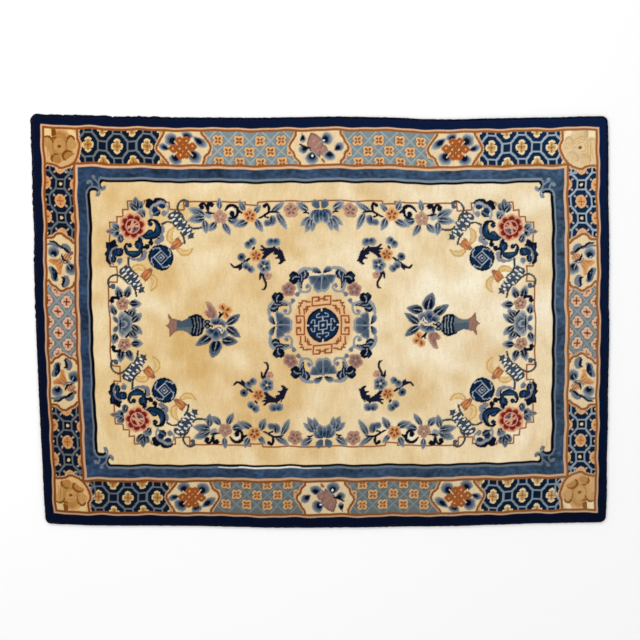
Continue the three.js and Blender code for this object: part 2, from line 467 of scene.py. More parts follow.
def draw_middle_panel(place):
    spot = place.at(0, 841)
    cartouche(spot, MIDDLE_PANEL, "cream")
    leaf(spot, 0, -46, 106, 128, 74, ("mauve_dark", "mauve"), bend=0.03, widest=0.55, blunt=0.85, core=0.5)
    leaf(spot, 22, -46, 92, 64, 44, ("mauve_dark", "mauve"), widest=0.5, core=0.5)
    for x, y in ((-26, 36), (-14, 8), (2, 24), (-4, -14), (18, -6), (20, -30)):
        line(spot.at(x, y, 40), "mauve_pale", (3, 5, 3), [(-9, 0), (9, 3)])
    oval(spot, "tan_line", 14, -60, 7, 13, 35)
    leaves(
        spot, GREY_LEAF, (6, 32, 22, 62, 64), (-32, -12, 258, 66, 66), (50, -12, 262, 50, 60),
        (72, -16, 40, 58, 42), (-48, 6, 196, 54, 42), (-78, 70, 270, 42, 28), widest=0.58, blunt=0.6,
        core=0.25,
    )
    lines(
        spot, "black", ((7, 10, 8), [(-43, 1), (-70, 10), (-92, 22)]),
        ((6, 8, 6), [(-83, 72), (-84, 52), (-91, 38)]),
    )
    ovals(spot, "white", (21, 36, 5), (-35, -34, 5, 6))


def draw_side_panel(place):
    """A gourd with its striped flower, and leaves of which each has one dark side."""
    spot = place.at(-1254, 290)
    cartouche(spot, SIDE_PANEL, "cream")
    leaf(spot, -31, 18, 100, 60, 58, GREY_LEAF, widest=0.5, blunt=0.65, core=0.15)
    leaf(spot, 35, -2, -68, 62, 60, GREY_LEAF, widest=0.5, blunt=0.65, core=0.2)
    fill(
        spot, "orange",
        [(-59, 0), (-48, 13), (-26, 14), (-6, 17), (9, 7), (9, -14), (2, -34), (-2, -56), (-15, -59),
         (-21, -38), (-28, -20), (-42, -13)],
    )
    for run in ([(-48, 2), (-22, 8)], [(-34, -6), (-4, 11)], [(-20, -16), (4, 3)],
                [(-10, -32), (4, -11)]):
        line(spot, "tan_line", (3, 5, 3), run)
    line(spot, "smoke", (6, 15, 15, 8), [(-66, 81), (-44, 84), (-18, 76), (2, 70)])
    fill(spot, "smoke", [(-3, 74), (9, 91), (28, 89), (45, 72), (48, 54), (34, 46), (18, 58)])
    lines(
        spot, "ink", ((5, 10, 10, 7), [(-56, 95), (-32, 95), (-10, 79), (6, 76)]),
        ((6, 13, 13, 7), [(2, 71), (18, 65), (31, 52), (42, 46)]),
    )
    fill(
        spot, "smoke",
        [(-64, -32), (-48, -23), (-30, -38), (-22, -64), (-16, -88), (-30, -96), (-48, -86), (-54, -62)],
    )
    line(spot, "deep", (6, 12, 6), [(-44, -34), (-40, -58), (-36, -82)])
    line(spot, "ink", (5, 13, 13, 8), [(-44, -25), (-28, -47), (-26, -72), (-31, -88)])
    fill(spot, "smoke", [(2, -74), (14, -60), (30, -64), (42, -90), (34, -108), (16, -120), (6, -112)])
    line(spot, "ink", (6, 14, 13, 10, 5), [(0, -70), (12, -78), (10, -94), (6, -108), (12, -116)])
    line(spot, "smoke", (4, 8, 8, 5), [(-6, 22), (4, 6), (22, -3), (46, 4)])
    line(spot, "ink", (5, 12, 11, 6), [(4, 40), (8, 20), (18, 11), (36, 6)])
    oval(spot, "tan_line", 31, 26, 21, 16, -30)
    for shift in (-12, 0, 12):
        line(spot.at(31, 26, -32), "petal_pale", 4, [(shift, -11), (shift, 11)], rounded=False)
    oval(spot, "mauve_dark", 50, 44, 10, 9)
    lines(spot, "leaf_pale", (4, [(-42, 31), (-31, 21)]), (4, [(34, -9), (42, -28)]))


def draw_corner_panel(place):
    """A large peony in gold on gold, its curled petals edged in brown."""
    spot = place.at(-1246, 841)
    cartouche(spot, CORNER_PANEL, "rosette_light")
    oval(spot, "rosette_pale", 0, 2, 62, 74)
    fills(
        spot, "gold", [(-74, 80), (-42, 80), (-34, 44), (-50, 38), (-74, 42)],
        [(36, 80), (66, 76), (78, 40), (76, 18), (66, 44), (48, 54)],
    )
    oval(spot, "rosette", -2, 12, 42, 56)
    oval(spot, "rosette_pale", -2, 4, 28, 36)
    fills(
        spot, "rosette_pale", [(-74, 36), (-56, 40), (-40, 28), (-40, 4), (-62, -10), (-74, 0)],
        [(30, 6), (36, 36), (54, 48), (72, 30), (80, 4), (60, -10)],
    )
    fills(
        spot, "rosette", [(24, -30), (40, -26), (66, -34), (46, -50), (26, -60), (14, -52)],
        [(-42, -74), (-44, -56), (-26, -42), (-8, -46), (0, -70), (-16, -84)],
    )
    fill(spot, "rosette_line", [(-42, 78), (-24, 80), (-18, 58), (-20, 38), (-32, 40), (-38, 58)])
    for run in (
        [(-76, 38), (-58, 43), (-40, 34), (-33, 16)], [(30, 6), (34, 32), (46, 47), (62, 45), (73, 28)],
        [(58, -28), (38, -22), (22, -28), (10, -44), (12, -60), (24, -66)],
        [(-42, -78), (-47, -62), (-40, -47), (-24, -38), (-10, -41)], [(-38, 60), (-32, 42), (-22, 36)],
    ):
        line(spot, "rosette_line", (4, 10, 12, 10, 4), run)
    for r in (24, 36, 50):
        line(spot.at(-2, 0), "gold_dark", 4, [(-r, 0.6 * r), (-r, -0.7 * r), (0, -r)])
        line(spot.at(-2, 0), "gold_dark", 4, [(0.8 * r, 0.5 * r), (0, r), (-0.6 * r, 0.9 * r)])
    for shift in (0, 12, 24):
        line(spot, "gold_dark", 3, [(40 + shift, 24), (44 + shift, -6)])
        line(spot, "gold_dark", 3, [(-64 + shift, 14), (-62 + shift, -50)])
    oval(spot, "olive", -3, -1, 9)
    oval(spot, "gold_dark", 18, -1, 6, 4)


def draw_border():
    box(WHOLE, "navy", -1330, -930, 1330, 930)
    for side in (1, -1):
        for end in (1, -1):
            along = (OCTAGONS_ALONG[0] * side, OCTAGONS_ALONG[1] * end)
            octagon_run(along, range(-3, 4), range(-1, 2), thorns=False)
        for end in (1, -1):
            across = (OCTAGONS_ACROSS[0] * side, OCTAGONS_ACROSS[1] * end)
            octagon_run(across, range(-1, 2), range(-3, 3), thorns=True)
            box(WHOLE, "lattice", 60 * side, 740 * end, 600 * side, 935 * end)
            along = (DIAMONDS_ALONG[0] * side, DIAMONDS_ALONG[1] * end)
            diamond_run(along, 50.5, range(-5, 8), range(-3, 4), slanted=True)
        box(WHOLE, "lattice", 1170 * side, -240, 1330 * side, 240)
        diamond_run((DIAMONDS_ACROSS * side, 0), 46.5, range(-2, 3), range(-5, 6), slanted=False)
    for place in QUARTERS:
        draw_corner_panel(place)
        draw_knot_panel(place)
        draw_side_panel(place)
    for turn in (0, 180):
        draw_middle_panel(WHOLE.at(0, 0, turn))


def draw_bands():
    """The plain bands and guard lines, from the edge in to the field."""
    frame_band("edge", (1400, 1000), EDGE_BAND)
    frame_band("pink", EDGE_BAND, OUTER_GUARD)
    frame_band("rust", OUTER_GUARD, OUTER_RUST)
    for yarn, half in (
        ("rust", FIGURED), ("pink", INNER_RUST), ("blue", INNER_GUARD), ("pale_line", BLUE_BAND),
        ("black", PALE_LINE), ("field", FIELD),
    ):
        box(WHOLE, yarn, -half[0], -half[1], half[0], half[1])
    line(WHOLE, "white", (2, 8, 10, 8, 2), [(-520, -693), (-270, -692), (-20, -693)], rounded=False)


def draw_blue_corner(place):
    """Where the blue band turns: two hooks that curl into the field and two into the band."""
    spot = place.at(-1090, 660)
    box(spot, "blue", -39, -30, 28, 39)
    fill(spot, "blue_dark", [(-8, -8), (-14, 12), (-6, 24), (14, 22), (24, 4), (14, -10)])
    line(spot, "blue_pale", 7, [(-62, 30), (-14, 73)])
    lines(
        spot, "black", ((12, 12, 12, 11, 7), [(-24, -70), (-23, -40), (-14, -25), (4, -23), (20, -34)]),
        ((11, 11, 11, 10, 6), [(70, 22.5), (46, 22), (33, 14), (30, -2), (40, -14)]),
    )
    for run in (
        [(-34, -70), (-32, -34), (-20, -15), (2, -12), (23, -19), (32, -36), (26, -52), (15, -52)],
        [(70, 33), (42, 33), (26, 25), (22, 6), (29, -12), (43, -22), (56, -16), (56, -3)],
        [(-7, -13), (-10, 2), (-18, 17), (-30, 17), (-34, 7)],
        [(24, 2), (12, 16), (-1, 24), (-8, 39)],
    ):
        line(spot, "pale_line", 8, run)
    ovals(spot, "pale_line", (21, -45, 9), (49, -10, 8), (-28, 9, 7), (-2, 34, 9))


def draw_key_line(place):
    """The thin stepped line round the flowers."""
    for run in (
        [(0, 593), (-298, 592), (-298, 577), (-359, 576), (-359, 590), (-656, 588), (-656, 552), (-724, 552),
         (-724, 586), (-843, 587), (-843, 576)],
        [(-870, 587), (-924, 587), (-924, 547), (-950, 547), (-950, 516), (-982, 516), (-982, 490),
         (-1016, 490), (-1016, 278), (-985, 278), (-985, 203), (-1023, 203), (-1025, 0)],
    ):
        line(place, "key_line", 7.5, run, rounded=False)


# Figures of the field, in the left back quarter

def draw_peony(place):
    spot = place.at(-908, 468)
    for petal in ring_of(spot, 8, 44, 100):
        oval(petal, "peach", 0, 0, 22, 22)
    oval(spot, "peach", 0, 0, 50)
    for yarn, smaller in (("brick", 0), ("claret", 3)):
        oval(spot, yarn, 0, 0, 42 - smaller)
        for petal in ring_of(spot, 8, 40 - smaller, 100):
            oval(petal, yarn, 0, 0, 17 - smaller)
    for petal in ring_of(spot, 8, 56, 77.5):
        line(petal, "peach", (8, 3), [(2, 0), (-12, 0)], rounded=False)
    oval(spot, "rose", 0, 0, 35, 36)
    oval(spot, "claret", 0, 0, 29, 30)
    fill(
        spot, "peach",
        [(-28, -2), (-12, 6), (-2, 28), (8, 26), (6, 8), (28, 6), (26, -6), (6, -6), (-4, -28), (-14, -24),
         (-10, -8)],
    )
    line(spot, "peach", 6, [(-26, -12), (24, 18)], rounded=False)
    oval(spot, "smoke", 10, -13, 11)
    oval(spot, "scroll", 10, -13, 7)


def draw_peony_leaves(place):
    fan(place, -882, 540, 92, 70, 3, 68, 34, SLATE_LEAF, widest=0.5, blunt=0.65, vein="leaf")
    leaf(place, -846, 506, 124, 52, 46, GREY_LEAF, widest=0.6, blunt=0.6, vein="leaf")
    leaf(place, -970, 444, 178, 70, 42, GREY_LEAF, widest=0.3, blunt=0.8, vein="leaf")
    leaf(place, -974, 452, 134, 46, 36, GREY_LEAF, widest=0.5, blunt=0.6, vein="leaf")
    leaf(place, -974, 444, 224, 36, 30, GREY_LEAF, widest=0.5, blunt=0.6)
    leaf(place, -1012, 443, 180, 28, 20, ("leaf_pale", "mauve_dark"), widest=0.4)
    leaf(place, -948, 408, 186, 34, 34, SLATE_LEAF, widest=0.5, blunt=0.6)
    leaf(place, -960, 402, 108, 32, 28, SLATE_LEAF, widest=0.5, blunt=0.6, vein="leaf")


def draw_leaves_above(place):
    """The dark cluster above the peony, with a lilac leaf in it."""
    spot = place.at(-790, 560)
    fill(
        spot, "ink",
        [(-50, 0), (-46, 20), (-41, 35), (-25, 39), (-10, 33), (-4, 42), (15, 47), (35, 44), (50, 35),
         (51, 20), (26, 26), (-2, 8), (-22, -12), (-38, -9)],
    )
    line(spot, "leaf", (9, 11, 12, 9), [(-23, -58), (-29, -28), (-22, -4), (-4, 16)])
    fill(
        spot, "lilac",
        [(-18, -4), (-6, 14), (12, 31), (32, 34), (46, 25), (48, 8), (32, -2), (14, 6), (-2, -4)],
    )
    fill(spot, "deep", [(12, 6), (24, 18), (42, 14), (47, 2), (30, -5)])
    line(spot, "leaf_pale", (3, 5, 3), [(-4, 10), (18, 24), (38, 24)])
    line(spot, "leaf", (7, 10, 8), [(50, 14), (58, -4), (56, -20), (46, -32)])
    oval(spot, "lilac", 37, -27, 13, 15)
    fill(spot, "deep", [(-22, -20), (-12, 2), (4, 2), (10, -12), (-4, -22)])
    fill(spot, "ink", [(-16, -42), (-14, -22), (4, -10), (19, -11), (20, -28), (8, -41)])
    fill(spot, "deep", [(-12, -38), (-10, -24), (6, -15), (15, -20), (6, -36)])
    line(spot, "smoke", 5, [(-16, -36), (0, -25), (15, -16)])


def draw_leaves_beside(place):
    """The dark cluster at the outer side of the peony."""
    spot = place.at(-1000, 350)
    fill(
        spot, "ink",
        [(-34, 42), (-16, 42), (-4, 52), (12, 57), (15, 38), (23, 25), (2, 16), (-10, -10), (-16, -32),
         (-10, -62), (-26, -58), (-37, -45), (-37, -28), (-43, -16), (-33, 2), (-36, 22)],
    )
    line(spot, "deep", (5, 10, 5), [(-22, 30), (-22, 2), (-30, -16)])
    line(spot, "lilac", (6, 9, 10, 10, 8), [(22, 22), (-2, 12), (-14, -14), (-14, -40), (2, -63)])
    fill(
        spot, "ink",
        [(-4, 2), (8, 13), (30, 16), (46, 11), (48, -10), (40, -22), (20, -24), (14, -20), (15, -40),
         (4, -54), (-10, -46), (-8, -24)],
    )
    fill(
        spot, "deep",
        [(0, 0), (10, 9), (30, 11), (41, 6), (40, -12), (20, -14), (8, -20), (6, -42), (-3, -42)],
    )
    lines(spot, "blue_pale", ((4, 6, 4), [(28, 8), (24, -4), (24, -16)]), ((5, 5), [(-2, -20), (2, -44)]))
    oval(spot, "smoke", 32, -45, 15, 14)
    line(spot, "leaf", (6, 6), [(26, -64), (40, -54), (44, -40)])


def draw_scrolls(place):
    """The two great blue scrolls that spring from under the peony."""
    spot = place.at(-850, 410)
    fills(
        spot, "lilac",
        [(82, 70), (92, 58), (96, 38), (88, 24), (96, 8), (92, -8), (78, -18), (64, -28), (46, -18),
         (60, 2), (74, 20)],
        [(-76, -90), (-60, -104), (-40, -108), (-12, -108), (6, -98), (12, -66), (2, -56), (-10, -62),
         (-16, -82), (-36, -94)],
    )
    for outline in (
        [(15, 76), (22, 90), (42, 95), (62, 89), (76, 72), (81, 46), (75, 22), (60, 4),
         (34, -6), (8, -7), (-12, 6), (-25, 23), (-6, 20), (6, 28), (18, 39), (32, 42),
         (43, 36), (49, 54), (49, 72), (40, 82), (28, 80)],
        [(-88, -21), (-99, -36), (-98, -58), (-88, -76), (-68, -89), (-46, -92), (-26, -84), (-12, -66),
         (-5, -44), (-7, -18), (-16, 2), (-27, 15), (-32, -5), (-45, -17), (-47, -34), (-39, -48),
         (-27, -56), (-50, -57), (-72, -60), (-83, -48), (-84, -32), (-78, -24)],
    ):
        fill(spot, "ink", outline)
    for run in (
        [(52, 78), (60, 56), (62, 32), (44, 16), (18, 8), (-6, 8)],
        [(-90, -46), (-80, -66), (-56, -74), (-30, -68), (-18, -46), (-18, -14)],
    ):
        line(spot, "deep_teal", (4, 16, 22, 16, 14, 5), run)
    lines(
        spot, "deep", ((4, 16, 4), [(8, 16), (24, 28), (40, 28)]),
        ((4, 18, 4), [(-34, -18), (-34, -34), (-24, -46)]),
    )
    lines(
        spot, "blue_pale", ((3, 8, 3), [(54, 68), (59, 50), (60, 36)]),
        ((3, 6, 3), [(12, 20), (24, 30), (34, 30)]), ((3, 8, 3), [(-76, -66), (-58, -70), (-42, -72)]),
        ((3, 7, 3), [(-30, -22), (-22, -38), (-24, -48)]),
    )
    ovals(spot, "ink", (27, 69, 12), (-70, -34, 12), (32, -22, 13), (12, -41, 13))
    for x, y in ((27, 71), (-72, -32)):
        oval(spot, "deep", x, y, 6)
    lines(
        spot, "ink", (15, [(-12, -46), (12, -41)]), (12, [(32, -6), (32, -20)]),
        ((6, 5), [(-12, -62), (-12, -88)]), (5, [(54, 8), (74, 2)]),
    )
    line(spot, "steel", 5, [(-24, 17), (-8, -8)])
    line(spot, "leaf", 7, [(38, 96), (39, 111)])


# A cloud fret along its own length, which runs towards its tip, and where the ground shows through it
FRET = [
    (-78, -14), (-70, 26), (-44, 31), (-22, 28), (-13, 19), (-5, 34), (9, 34), (12, 20), (26, 30), (33, 19),
    (50, 23), (58, 12), (68, 22), (75, 10), (89, 4), (79, -6), (70, -20), (60, -11), (49, -19), (37, -26),
    (28, -15), (15, -19), (6, -31), (-5, -31), (-9, -18), (-21, -27), (-34, -27), (-45, -16), (-56, -27),
    (-68, -26),
]
FRET_GAPS = ((-62, -2), (-48, 13), (-44, -10), (-26, 15), (-24, -14), (-3, 20), (4, -16), (20, 18), (24, -8),
             (39, 10), (52, -4))


def draw_fret(place, x, y, turn):
    spot = place.at(x, y, turn)
    fill(spot, "scroll", FRET, rounded=False)
    line(spot, "teal", (20, 14, 14, 10), [(-64, 2), (-20, 2), (20, 2), (68, 2)])
    for along, aside in FRET_GAPS:
        line(spot, "white", (6, 9, 6), [(along - 1, aside - 7), (along, aside), (along + 1, aside + 7)])


def draw_frets(place):
    draw_fret(place, -672, 478, 311)
    draw_fret(place, -912, 214, 311)
    for run in (
        [(-658, 504), (-668, 528), (-686, 552), (-680, 580), (-658, 598), (-634, 590), (-634, 574)],
        [(-702, 470), (-718, 488), (-742, 492), (-766, 482)],
        [(-676, 442), (-662, 420), (-655, 392)],
        [(-640, 478), (-626, 464), (-600, 460), (-574, 466)],
        [(-940, 206), (-962, 226), (-988, 238), (-1014, 230), (-1028, 204), (-1020, 182), (-1004, 176)],
        [(-928, 318), (-926, 282), (-912, 254), (-894, 240)],
        [(-912, 188), (-898, 166), (-891, 134)],
    ):
        line(place, "scroll", (10, 10), run)
    ovals(place, "leaf_blue", (-639, 573, 12), (-1003, 183, 13))


def draw_bat(place, x, y, turn):
    """A flying bat seen from above: body and head, ears, and on each side a thin crescent of a wing."""
    spot = place.at(x, y, turn)
    for side in (-1, 1):
        wing = spot.at(0, 0, 0, stretch=(1, side))
        line(wing, "yellow", (16, 32, 30, 12), [(6, 12), (0, 44), (-18, 62), (-46, 68)])
        line(wing, "yellow_pale", (6, 20, 18, 4), [(4, 14), (-2, 42), (-20, 60), (-42, 64)])
        line(wing, "yellow", (3, 5, 3), [(-4, 26), (-8, 46), (-30, 58)])
    fill(
        spot, "tan_line",
        [(-34, -15), (-26, -22), (-6, -19), (16, -12), (18, 10), (-6, 19), (-26, 20), (-33, 12)],
    )
    fill(
        spot, "coral",
        [(-28, -10), (-22, -16), (-6, -14), (12, -8), (12, 8), (-6, 14), (-22, 14), (-27, 8)],
    )
    for side in (-1, 1):
        line(spot, "tan_line", (8, 4), [(-24, side * 14), (-38, side * 18)], rounded=False)
        line(spot, "coral", (7, 4), [(-2, side * 14), (8, side * 26)], rounded=False)
    oval(spot, "crown", 20, 0, 11, 11)
    line(spot, "umber_pale", 4, [(-22, 0), (8, 0)])
    line(spot, "orange_pale", 3, [(-14, -10), (2, -8)])


def draw_roundel(place):
    """A round fret: two squares set on their corners, with a hooked arc beyond each corner."""
    spot = place.at(-771, 322)
    oval(spot, "ink", 0, 0, 61, 62)
    oval(spot, "navy_bright", 0, 0, 53, 54)
    for turn in CROSSWISE:
        side = spot.at(0, 0, turn)
        line(side, "disc_line", 4, [(34, 0), (0, 34)], rounded=False)
        line(side, "disc_line", 4, [(17, 0), (0, 17)], rounded=False)
        line(side, "disc_line", 4, [(34, 0), (46, 8), (43, 24)], rounded=False)
        line(side, "ink", 6, [(20, 30), (31, 19)], rounded=False)
        line(side, "disc_line", 4, [(47, -40), (38, -36), (24, -48)], rounded=False)
    oval(spot, "disc_line", 0, 0, 5)


def draw_corner(place):
    draw_key_line(place)
    draw_bat(place, -700, 382, 222)
    draw_bat(place, -838, 242, 48)
    draw_peony_leaves(place)
    draw_leaves_above(place)
    draw_leaves_beside(place)
    draw_scrolls(place)
    draw_peony(place)
    draw_roundel(place)
    draw_frets(place)


def draw_long_run(place):
    """Leaves and flowers from the corner to the middle of the long side."""
    leaves(
        place, GREY_LEAF, (-556, 520, 152, 88, 42, 0.05), (-556, 512, 190, 88, 44, -0.05),
        (-560, 502, 274, 68, 38, 0), (-505, 492, 232, 62, 38, -0.1), (-474, 490, -64, 72, 34, 0.1),
        (-486, 550, 86, 58, 30, 0), (-452, 508, -12, 66, 42, 0), (-350, 502, 208, 78, 40, -0.14),
        (-364, 546, 120, 60, 32, -0.1), (-322, 538, 48, 56, 28, 0), (-314, 514, 288, 70, 38, 0.12),
        (-240, 538, 36, 90, 30, 0), (-212, 538, -58, 92, 34, -0.06), widest=0.45, vein="leaf",
    )
    leaf(place, -562, 520, 20, 44, 44, ("leaf_pale", "leaf"), widest=0.6)
    lines(
        place, "ink", ((8, 14, 14, 12), [(-582, 568), (-568, 579), (-552, 575), (-540, 545)]),
        ((8, 14, 14, 12), [(-512, 574), (-524, 582), (-538, 578), (-541, 550)]),
        ((4, 12, 4), [(-558, 539), (-537, 536), (-508, 532)]),
    )
    ovals(place, "ink", (-569, 563, 12), (-522, 571, 10))
    rosette(place, -484, 515, 35, 5, 90, "mauve_pale", "mauve_pale", "mauve", "pink")
    line(
        place, "ink", (8, 13, 16, 17, 14),
        [(-459, 548), (-444, 566), (-424, 574), (-402, 562), (-398, 538)],
    )
    line(place, "white", (5, 9, 6), [(-446, 546), (-428, 557), (-411, 542)])
    oval(place, "ink", -426, 534, 13, 15)
    lines(
        place, "ink", ((13, 15, 13), [(-398, 540), (-408, 520), (-424, 518)]),
        ((12, 12, 7), [(-398, 552), (-386, 542), (-370, 532)]),
        ((6, 11, 11, 11, 7), [(-302, 516), (-284, 522), (-258, 536), (-232, 543), (-200, 538)]),
        ((8, 13, 13, 11), [(-270, 577), (-256, 580), (-247, 562), (-252, 540)]),
        ((7, 10), [(-274, 524), (-254, 516)]),
    )
    oval(place, "ink", -268, 572, 10)
    rosette(place, -341, 526, 36, 5, 90, "orange_pale", "orange", "umber", "rose")
    for yarn, reach in (("leaf", 1), ("smoke", 0.8), ("leaf_blue", 0.6)):
        oval(place, yarn, -259, 490, 20 * reach, 18 * reach)
        oval(place, yarn, -234, 500, 19 * reach, 27 * reach, -20)
    line(place, "ink", (4, 8, 3), [(-240, 524), (-240, 504), (-246, 486)])
    rosette(place, -142, 548, 38, 5, 90, "mauve_pale", "mauve_pale", "mauve_dark", "mauve_pale")
    # The half lotus at the middle, which the other half mirrors
    leaf(place, -56, 552, 156, 66, 40, GREY_LEAF, bend=-0.1, widest=0.55, blunt=0.6, vein="leaf_pale")
    line(place, "ink", (6, 10, 7), [(-84, 541), (-70, 542), (-58, 536)])
    leaves(
        place, GREY_LEAF, (-44, 520, 212, 74, 34, 0.1), (-42, 518, 240, 82, 40, 0.05),
        (-38, 514, 262, 66, 34, 0), widest=0.45, vein="leaf",
    )
    leaf(place, -6, 556, 126, 50, 38, ("smoke", "steel_dark", "leaf_blue"), widest=0.55, blunt=0.6)
    for x, turn, length, width in ((-8, 222, 62, 44), (-6, 252, 76, 44), (0, 270, 64, 26)):
        leaf(place, x, 550, turn, length, width, LOTUS_PETAL)


def draw_short_run(place):
    """The run up to the middle of the short side."""
    spot = place.at(-960, 90)
    leaves(spot, DARK_HEARTED_LEAF, (-10, 36, 102, 62, 40), (18, 36, 70, 62, 40), widest=0.42, vein="smoke")
    ovals(spot, "ink", (-2, 48, 7), (14, 48, 7))
    line(spot, "ink", (10, 14, 14, 12), [(-50, 20), (-52, 34), (-36, 41), (-16, 34)])
    oval(spot, "ink", -49, 23, 12)
    leaf(spot, 34, 8, -2, 62, 40, DARK_HEARTED_LEAF, widest=0.45, vein="smoke")
    leaf(spot, -36, -46, 108, 58, 38, DARK_HEARTED_LEAF, widest=0.45, vein="lilac")
    leaf(spot, -28, -84, 120, 44, 26, ("leaf_pale", "smoke", "leaf_blue"), widest=0.5)
    leaves(spot, ("ink",), (26, -50, 74, 34, 14), (26, -50, 124, 34, 14))
    leaf(spot, 34, -86, 40, 76, 38, DARK_HEARTED_LEAF, widest=0.5, vein="leaf")
    leaf(spot, 32, -60, 58, 60, 36, DARK_HEARTED_LEAF, widest=0.45, vein="leaf")
    rosette(spot, 3, 8, 33, 5, 90, "mauve_pale", "mauve_pale", "mauve_dark", "pink")
    leaf(
        spot, 6, -94, 102, 70, 50, ("leaf_pale", "leaf", "smoke", "leaf_blue"), widest=0.5, blunt=0.6,
        core=0.3,
    )


def draw_short_middle(place):
    """The half lotus at the middle of the short side."""
    spot = place.at(-978, 0)
    leaf(
        spot, 0, 0, 0, 60, 92, ("leaf", "smoke", "steel_dark", "blue_pale"), widest=0.5, blunt=0.45,
        core=0.2,
    )
    leaf(spot, 0, 0, 0, 46, 54, ("leaf_blue", "deep"), widest=0.5, blunt=0.6)
    oval(spot, "leaf", 12, 0, 26, 20)
    oval(spot, "leaf_blue", 10, 0, 15, 12)
    line(spot, "ink", (4, 7, 4), [(0, -34), (1, 0), (0, 34)])


def draw_spray(place):
    """A branch of blossom between the medallion and the corner."""
    spot = place.at(-300, 300)
    for run, widths in (
        ([(12, 86), (38, 64), (72, 62), (96, 46), (106, 22), (112, 4)], (6, 14, 18, 20, 18, 8)),
        ([(8, 65), (38, 62)], (6, 10)), ([(10, 47), (42, 56)], (7, 12)),
        ([(16, 24), (38, 42), (62, 54)], (14, 13, 9)), ([(72, 76), (86, 58)], (6, 12)),
        ([(96, 70), (108, 50), (114, 26)], (5, 10, 12)), ([(68, 42), (94, 44)], (4, 12)),
        ([(84, 22), (104, 26)], (8, 12)), ([(128, 9), (112, 22)], (5, 14)),
        ([(98, -4), (112, 6)], (8, 12)),
        ([(-136, -6), (-120, -20), (-92, -14), (-62, 8), (-44, 23)], (6, 9, 13, 12, 7)),
        ([(-96, -32), (-74, -10)], (6, 12)), ([(12, -36), (2, -56), (1, -76)], (11, 10, 6)),
        ([(12, -38), (19, -66), (31, -96), (28, -118), (16, -124)], (12, 10, 9, 9, 5)),
        ([(-30, 68), (-22, 76)], (7, 7)),
    ):
        line(spot, "branch", np.multiply(1.3, widths), run)
    heart_blossom(spot, -40, 95, 130, 20, ("leaf", "smoke", "leaf_blue", "ink"))
    heart_blossom(spot, 70, 98, 90, 21, ("leaf", "smoke", "leaf_blue", "deep"))
    heart_blossom(spot, -52, -21, 235, 19, ("leaf", "smoke", "leaf_blue", "ink"))
    for yarn, reach in (("smoke", 20), ("leaf_blue", 14), ("ink", 8)):
        oval(spot, yarn, -84, 28, reach)
    rosette(spot, -14, 37, 33, 5, 90, "orange_pale", "orange", "umber", "mauve")
    rosette(spot, 25, -12, 36, 5, 108, "leaf", "smoke", "deep", "cream")
    leaf(spot, 22, -38, -52, 48, 36, ("mauve_pale", "rose_pale"), widest=0.65, blunt=0.6)
    for turn in (-66, -36):
        line(spot.at(28, -48, turn), "mauve_dark", (5, 3), [(2, 0), (20, 0)], rounded=False)
    leaf(spot, 24, -38, -58, 18, 18, ("leaf",), widest=0.5)


